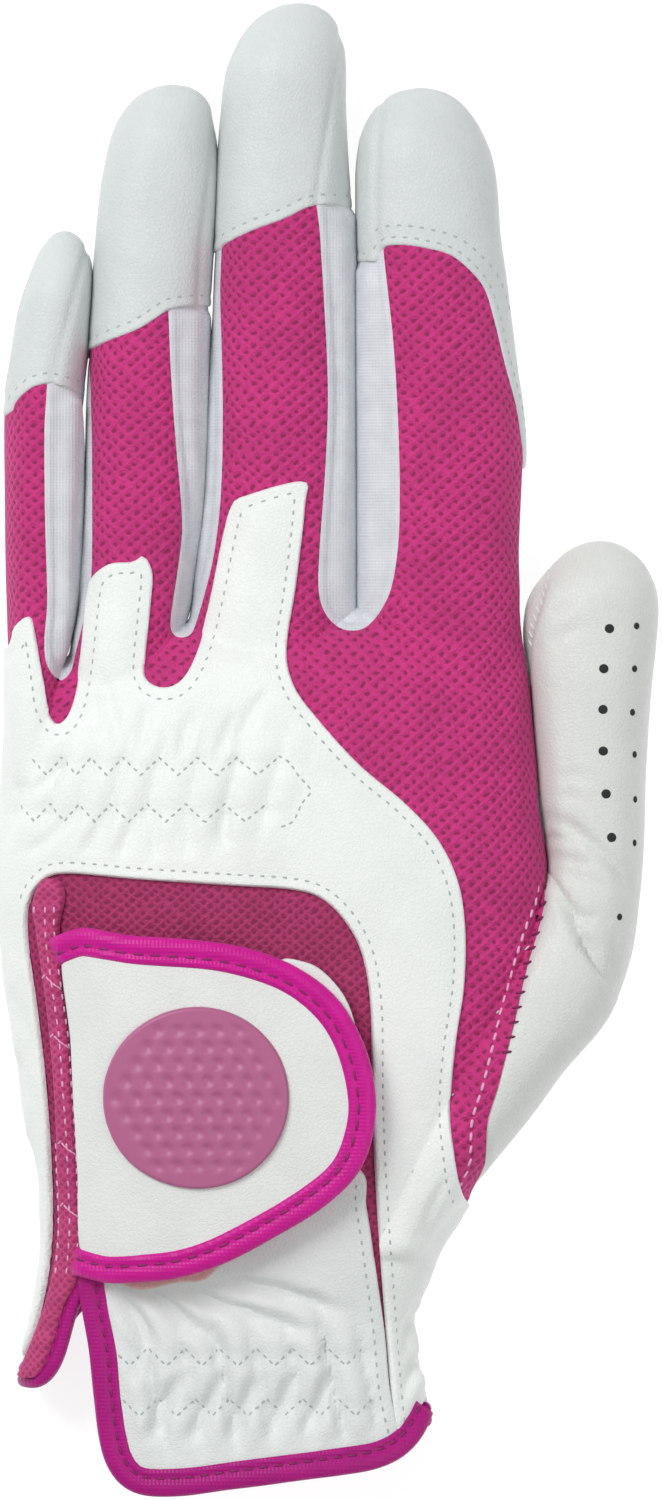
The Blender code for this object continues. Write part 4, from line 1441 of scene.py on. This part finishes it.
# The line along which the tab's root is sewn, as (y, x) pairs
TAB_ROOT = ((-110, -33.6), (-76, -35.9), (-27, -39.2), (0, -41))
TAB_LOW, TAB_LIFT, TAB_THICK = 1.2, 3.6, 1.2
BINDING_WIDTH = 4.2
EMBLEM_CENTRE, EMBLEM_RADIUS, EMBLEM_HEIGHT = (-19.1, -49.6), 12.9, 0.85
DIMPLE_PITCH, DIMPLE_RADIUS, DIMPLE_DEPTH = 2.75, 1.05, 0.42
ROOT_STRIP = closed_path(
    (-41.6, -18.6), (-39.2, -18.8), (-38.4, -21), (-39.2, -25.5), (-38.6, -32.5), (-37.8, -39.7),
    (-37.2, -47), (-36.7, -54.2), (-36.2, -61.5), (-35.9, -68.7), (-35.6, -74), (-37.5, -78.5), (-39, -82),
    (-40.2, -86), (-42.5, -90.8), (-45.4, -92), (-44.4, -89), (-42.2, -83.2), (-40.2, -76.5), (-39.2, -68.7),
    (-39.4, -61.5), (-39.6, -54.2), (-40, -47), (-40.7, -39.7), (-41.6, -32.5), (-42.5, -26), (-43, -22),
)


def tab_lift(xy):
    """How far the tab stands off the wrist: it rises from its root."""
    return TAB_LOW + (TAB_LIFT - TAB_LOW) * smoothstep(-1, 9, beyond(xy, TAB_ROOT))


def patch(name, upper, outline, low, high, material, slot, body, nodes=(), rim=0.6, wave=None):
    """A flat piece with turned edges lying on the back, between two heights over the skin."""
    inside = outline_distance(upper["v"][:, :2], outline)
    skin = kept({**upper, "patch": inside}, inside)
    skin = edge_rings(skin, "patch", (0.15 * rim, 0.45 * rim, rim))
    xy = skin["v"][:, :2]
    low, high = low(xy), high(xy)
    edge = 0.15
    top = low + rounded_rim(skin["patch"], 1, rim) * (high - low - edge) + edge
    if wave is not None:
        top = top + wave(skin)
    skin["outer"] = skin["v"] + skin["n"] * top[:, None]
    skin["inner"] = skin["v"] + skin["n"] * low[:, None]
    skin["normal"] = vertex_normals(skin["outer"], skin["t"])
    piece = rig.ride(shell_object(name, skin, material, slot), body)
    if nodes:
        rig.replaces(piece, *nodes)
    return skin


def tab(upper, ground, stitches):
    """The closing tab with its binding, emblem and hook tape, the loop tape below, and the strip at its root."""
    def over(rise):
        return lambda xy: tab_lift(xy) + rise

    def field(value):
        return lambda xy: np.full(len(xy), float(value))

    face = np.vstack(inset(TAB, 1.6))
    patch("tab_face", upper, face, over(0), over(TAB_THICK), TAB_WHITE, "leather", "tab", ("tab_panel",))
    way = inset(TAB, BINDING_WIDTH / 2)[0]
    way = np.roll(way, -int(np.argmin(way[:, 0] + np.abs(way[:, 1] + 50) * 0.2)), axis=0)
    way = way[way[:, 0] - spline(TAB_ROOT, way[:, 1]) > 3]
    way = way if way[0, 1] > way[-1, 1] else way[::-1]
    way = np.vstack(([(-39.2, -28.9), (-37.9, -28.9)], way, [(-35, -73.6), (-36.2, -73.4)]))
    spots, normals, _ = ground.drop(way)
    spots = spots + normals * (tab_lift(way) + TAB_THICK * 0.5)[:, None]
    spots, normals = evened(spots, normals, 6)
    piece = binding("tab_edge", spots, normals, BINDING_WIDTH, 2.7, stitches, 2.45, aside=-0.12)
    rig.replaces(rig.ride(piece, "tab"), "tab_binding")

    under = closed_path(
        (-9, -33), (-7.4, -30), (-4.4, -30.2), (-1.7, -31.4), (1.2, -34.5), (2.8, -38), (3.2, -42), (0, -46),
        (-6, -38),
    )
    patch("tab_underlay", upper, under, over(-1.1), over(-0.35), TAB_WHITE, "leather", "tab", rim=0.3)
    hooks = closed_path(
        (-33, -38), (-12, -38), (-6.5, -43), (-5.5, -55), (-10, -64), (-17, -74.8), (-22, -76.2), (-29, -77),
        (-33, -70),
    )
    patch("tab_hooks", upper, hooks, over(-1.5), over(-0.45), HOOKS, "tape", "tab", ("hook_tape",), rim=0.4)
    loops = closed_path(
        (-33, -36), (-4, -36), (-1.5, -41), (-1.5, -56), (-4, -62), (-33, -62.5),
    )
    patch("wrist_loops", upper, loops, field(-0.3), field(1.6), LOOPS, "tape", "palm", ("loop_tape",), rim=0.4)
    emblem(ground)

    def puckers(skin):
        xy = skin["v"][:, :2]
        return 0.18 * np.sin(xy[:, 1] * 1.5 + 2 * np.sin(xy[:, 1] * 0.31)) * smoothstep(0, 1.2, skin["patch"])

    return patch(
        "root_strip", upper, ROOT_STRIP, field(0.15), field(1.4), STRIP_MESH, "knit", "palm", ("tab_root_strip",),
        rim=1.0, wave=puckers,
    )


def emblem(ground):
    """A generic round rubber emblem, dimpled like a ball."""
    radius, rim = EMBLEM_RADIUS, 0.5
    curve = 1 - np.sin(np.linspace(0, 1, 6) * math.pi / 2)
    steps = np.concatenate((np.arange(0.3, radius - rim, 0.3), radius - rim * curve))
    turn = np.linspace(0, 2 * math.pi, 120, endpoint=False)
    flat = np.array([(r * math.cos(a), r * math.sin(a)) for r in steps for a in turn])
    height = np.full(len(flat), EMBLEM_HEIGHT)
    for row in range(-5, 6):
        for column in range(-5, 6):
            centre = np.array((column + 0.5 * (row % 2), row * math.sqrt(3) / 2)) * DIMPLE_PITCH
            if np.linalg.norm(centre) < radius - 1.5:
                gap = np.linalg.norm(flat - centre, axis=1) / DIMPLE_RADIUS
                height -= DIMPLE_DEPTH * np.clip(1 - gap**2, 0, 1)**1.3
    edge = np.clip((radius - np.linalg.norm(flat, axis=1)) / rim, 0, 1)
    height *= np.sqrt(1 - (1 - edge)**2)
    xy = flat + EMBLEM_CENTRE
    spots, normals, _ = ground.drop(xy)
    lift = tab_lift(xy) + TAB_THICK
    rings = (spots + normals * (lift + height)[:, None]).reshape(len(steps), -1, 3)[::-1]
    columns = len(turn)
    bottom = spots[-columns:] + normals[-columns:] * (lift[-columns:] - 0.3)[:, None]
    points, faces = tube([bottom, *rings])
    piece = solid("round_emblem", points, faces, EMBLEM_RUBBER, "rubber")
    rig.replaces(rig.ride(piece, "tab"), "tab_emblem")


# ---------------------------------------------------------------- stitching and edges

STITCH, PITCH, TIGHT_PITCH = capsule(0.66, 0.34, 0.1), 1.6, 1.2
# The small holes of the thumb, drawn as dark spots of painted shade: a row of larger ones on top and one of smaller
# ones along its side
VENT = button(0.78, 0.09, 16)
SIDE_VENT = button(0.58, 0.09, 14)
VENTS_AT = [
    (40.1, 17.7), (39.3, 11.9), (39.2, 6), (39.2, 0), (39.6, -6.2), (40.4, -12.5),
]
SIDE_VENTS_AT = [
    (44.1, 18.1), (43.8, 11.9), (43.5, 5.6), (43.8, -0.5), (43.9, -7), (43.8, -13.3), (41.6, -24),
]


def zigzag(peaks, rows, slant, swing):
    """The two zigzag lines of an elastic's stitching, as flat paths."""
    for row in rows:
        shift = slant * (row - rows[0])
        points = []
        for a, b in zip(peaks, peaks[1:]):
            points += [(a + shift, row + swing), ((a + b) / 2 + shift, row - swing)]
        points.append((peaks[-1] + shift, row + swing))
        at = np.arange((len(points) - 1) * 6 + 1) / 6
        yield sampled(at, np.arange(len(points)), np.array(points, float))


def sewing(yoke_skin, cap_skin, wrist_skin, palm_skin, mesh_ground, strip_skin):
    """Every row of stitches on the leather."""
    # The stitches are painted grey for the shade of their needle holes
    threads = Scatter("stitches", SHADED_THREAD, "leather")
    on_yoke, on_caps, on_wrist, on_palm, on_strip = (
        Surface(skin["outer"], skin["t"]) for skin in (yoke_skin, cap_skin, wrist_skin, palm_skin, strip_skin)
    )

    def row(surface, path, pitch=PITCH):
        if len(path) > 2:
            threads.along(surface, STITCH, path, pitch, 0.02)

    for run in inset(YOKE, 1.6):
        row(on_yoke, run[(run[:, 0] > -46.5) & (run[:, 1] > -66) & (run[:, 0] < 25)])
    run = moved_in(WINDOW, -1.6)
    row(on_yoke, run[(run[:, 1] > -101) & ((run[:, 0] > -10) | (run[:, 1] > -22))])
    for digit in CAP_EDGES:
        for distance in (1.55,) if digit != "index" else (1.2, 2.9):
            for run in inset(cap_outline(digit), distance):
                on_digit = digit_fields(run)[digit] > 0
                low = run[:, 1] < max(y for _, y in CAP_EDGES[digit]) + distance + 0.3
                row(on_caps, run[on_digit & low])
    for run in inset(WRIST, 1.5):
        row(on_wrist, run[(run[:, 0] > 2) & (run[:, 1] > -101)])
    for peaks, rows, slant, surface in (
        (KNUCKLE_PEAKS, KNUCKLE_ROWS, KNUCKLE_SLANT, on_yoke), (WRIST_PEAKS, WRIST_ROWS, WRIST_SLANT, on_wrist),
    ):
        for path in zigzag(peaks[:-1], rows, slant, 1.25):
            row(surface, path, TIGHT_PITCH)
    prong_end = [(-8, -0.6), (-6.3, -1.5), (-4.8, -3.6), (-3.1, -5.7), (-4.3, -7.5), (-5.7, -10.2), (-7.6, -11)]
    row(on_yoke, path_through(prong_end), TIGHT_PITCH)
    threads.finish()
    # Dark spots of painted shade where the thumb's holes are
    vents = Scatter("vent_holes", VENT_SHADE, "leather")
    for template, places in ((VENT, VENTS_AT), (SIDE_VENT, SIDE_VENTS_AT)):
        spots, normals, hit = on_palm.drop(np.array(places))
        vents.add(template, spots[hit], np.tile((0.3, 1.0, 0), (hit.sum(), 1)), normals[hit])
    vents.finish()
    seam_threads(mesh_ground, on_palm)
    strip_threads(on_strip)
    inner_label()


def overcast(name, material, slot, surface, stitch, path, pitch, lean, sink):
    """Stitches laid across an edge, leaning along Y."""
    over = Scatter(name, material, slot)
    place, way = even_points(path, pitch)
    over.drape(surface, stitch, place, np.column_stack((way[:, 1], lean - way[:, 0])), sink)
    over.finish()


def seam_threads(on_mesh, on_palm):
    """The pale row that sews the mesh to the thumb leather, and the stitches over two raw edges."""
    edge = np.array([(float(spline(KNIT_EDGE, y)), y) for y in np.arange(-19, -64, -0.5)])
    pale = Scatter("seam_stitches", PALE_THREAD, "knit")
    inward = edge - np.column_stack((1.2 + 1.0 * smoothstep(-19, -27, edge[:, 1]), np.zeros(len(edge))))
    pale.along(on_mesh, capsule(1.2, 0.5, 0.3), inward, 1.85, -0.15)
    pale.finish()
    upper_edge = edge[:52]
    overcast(
        "overcast_stitches", BERRY_THREAD, "knit", on_mesh, capsule(1.5, 0.42, 0.35), upper_edge, 2.05, -0.35, -0.2
    )
    thumb = path_through([(32.4, 28), (31.3, 25), (30.3, 21.6), (29, 18.1), (28.7, 15)])
    overcast("thumb_overcast", THREAD, "leather", on_palm, capsule(1.4, 0.5, 0.25), thumb, 1.15, 0.5, 0.05)


def inner_label():
    """The blank sewn-in label inside the cuff, on the palm leather."""
    corners = np.array([(x, y, z) for z in (1.2, 1.7) for y in (-78.6, -69.6) for x in (-22, 0)], float)
    quads = np.array([(0, 2, 3, 1), (4, 5, 7, 6), (0, 1, 5, 4), (2, 6, 7, 3), (0, 4, 6, 2), (1, 3, 7, 5)])
    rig.replaces(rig.ride(mesh_object("label", corners, [quads], LABEL, "tape"), "palm"), "inner_label")


def strip_threads(on_strip):
    """The white dashes and loose zigzags on the strip that holds the tab's root."""
    white = Scatter("strip_stitches", PALE_THREAD, "knit")
    middle = np.array([
        (-41.6, -22), (-41.5, -27), (-40.6, -34), (-39.6, -41), (-39.1, -48), (-38.6, -55), (-38.3, -62),
        (-38.1, -69), (-38.6, -76),
    ])
    for shift in (-1.4, 0.2, 1.5):
        line = path_through(middle + (shift, 0))
        white.along(on_strip, capsule(0.85, 0.32, 0.2), line, 1.75, 0.0)
    for y in (-33, -41.5, -57, -66):
        x = float(np.interp(-y, -middle[:, 1], middle[:, 0]))
        line = path_through([(x - 1.5, y - 0.4), (x - 0.8, y + 0.5), (x + 0.4, y - 0.5), (x + 1.7, y - 1.4)])
        white.along(on_strip, capsule(0.8, 0.26, 0.2), line, 0.7, 0.0)
    white.finish("palm")


# The palm's hem is found by rays from a line inside the cuff, turned by angles about it
HEM_AXIS_X, HEM_AXIS_Z = -15.6, 6.5
HEM_START, HEM_END = math.radians(176), math.radians(363.3)
HEM_LEFT, HEM_WIDTH = -45.0, 59


def cuff_bindings(ground, stitches):
    """The lycra bindings of the slit and the hem, on the back and round the palm."""
    spots, normals, hit = ground.drop(path_through(HEM_BACK))
    spots, normals = evened(spots[hit], normals[hit] + (0, 0, 0.8), 5)
    piece = binding("hem_back", spots, normals, 4.25, 2.4, stitches, aside=0.14, material=HEM_PIPING)
    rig.replaces(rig.ride(piece, "palm"), "cuff_binding_back", "slit_binding_back")

    spots, normals, hit = ground.drop(path_through(SLIT_PALM)[:-2])
    spots, normals = list(spots[hit][:-2]), list(normals[hit][:-2])
    for angle in np.linspace(HEM_START, HEM_END, 95):
        x = HEM_LEFT + (angle - HEM_START) / math.radians(178) * HEM_WIDTH
        for _ in range(3):
            origin = (HEM_AXIS_X, float(spline(PALM_HEM, x)), HEM_AXIS_Z)
            place, normal, _ = ground.cast([origin], [(math.cos(angle), 0, math.sin(angle))])
            x = place[0, 0]
        spots.append(place[0])
        normals.append(normal[0])
    normals = np.array(normals)
    path, _ = evened(np.array(spots), normals, 3)
    along = lengths_along(path)
    at = np.arange(0, along[-1], 0.7)
    path, normals = evened(sampled(at, along, path), sampled(at, along, normals), 5)
    path[:, 2] = np.maximum(path[:, 2], 1.15)
    piece = binding("hem_palm", path - normals * 0.3, normals, 3.6, 2.1, stitches, material=HEM_PIPING)
    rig.replaces(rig.ride(piece, "palm"), "cuff_binding_palm", "slit_binding_palm")


# ---------------------------------------------------------------- camera, floor and light

LENS, SENSOR = 300.0, 36.0
VIEW_HEIGHT = 0.2175                        # the height of the picture, in metres
VIEW_CENTRE, FOCUS_Z = (0.000355, -0.000055), 0.009
FLOOR_HALF, FLOOR_Z = 3.0, -0.0002
SKY_STRENGTH = 0.38
LIGHTS = (("key", (-0.55, 0.55, 0.9), 0.5, 9), ("fill", (0.6, -0.2, 0.9), 0.8, 3.4))


def placed(name, data):
    """A new object of the scene."""
    made = bpy.data.objects.new(name, data)
    bpy.context.scene.collection.objects.link(made)
    return made


def studio():
    """A long lens straight above, a pale floor, and soft light from all round."""
    scene = bpy.context.scene
    scene.view_settings.view_transform = "Standard"
    camera = bpy.data.cameras.new("camera")
    camera.lens, camera.sensor_width, camera.sensor_fit = LENS, SENSOR, "AUTO"
    camera.clip_end = 20
    scene.camera = placed("camera", camera)
    scene.camera.location = (*VIEW_CENTRE, FOCUS_Z + VIEW_HEIGHT * LENS / SENSOR)

    mesh = bpy.data.meshes.new("floor")
    corners = [(x * FLOOR_HALF, y * FLOOR_HALF, 0) for x, y in ((-1, -1), (1, -1), (1, 1), (-1, 1))]
    mesh.from_pydata(corners, [], [(0, 1, 2, 3)])
    paper = Shader("floor", (0.35, 0.35, 0.35, 1), 0.9, emission_color=(1, 1, 1, 1), emission_strength=0.8)
    mesh.materials.append(paper.material)
    floor = placed("floor", mesh)
    floor.location.z = FLOOR_Z
    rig.stage(floor)

    scene.world = bpy.data.worlds.new("studio")
    scene.world.use_nodes = True
    sky = scene.world.node_tree.nodes["Background"].inputs
    sky["Color"].default_value, sky["Strength"].default_value = (1, 1, 1, 1), SKY_STRENGTH
    for name, place, width, power in LIGHTS:
        light = bpy.data.lights.new(name, "AREA")
        light.size, light.energy = width, power
        lamp = placed(name, light)
        lamp.location = place
        lamp.rotation_euler = (-Vector(place)).to_track_quat("-Z", "Y").to_euler()


# ---------------------------------------------------------------- the glove


def glove():
    """Every piece of the glove."""
    points, triangles = base_skin()
    skin = fields_of({"t": triangles, "v": points, "n": vertex_normals(points, triangles)})
    skin = weave_map(skin)
    upper, lower = trimmed(skin)
    whole = merged(upper, lower)
    ground = Surface(points, triangles)
    back_mesh(upper)
    window_mesh(upper)
    webs(whole)
    cap_skin = caps(whole)
    yoke_skin = yoke(upper)
    wrist_skin = wrist_panel(upper)
    palm_skin = palm(whole)
    tab_stitches = Scatter("tab_stitches", PINK_THREAD, "piping")
    strip_skin = tab(upper, ground, tab_stitches)
    tab_stitches.finish("tab")
    cuff_stitches = Scatter("cuff_stitches", PINK_THREAD, "piping")
    cuff_bindings(ground, cuff_stitches)
    cuff_stitches.finish("palm")
    sewing(yoke_skin, cap_skin, wrist_skin, palm_skin, ground, strip_skin)


studio()
glove()
with open("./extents.json", "w") as file:
    json.dump({"cad": [list(map(float, c)) for c in cad_bounds], "visual": [list(map(float, c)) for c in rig.bounds()]}, file)
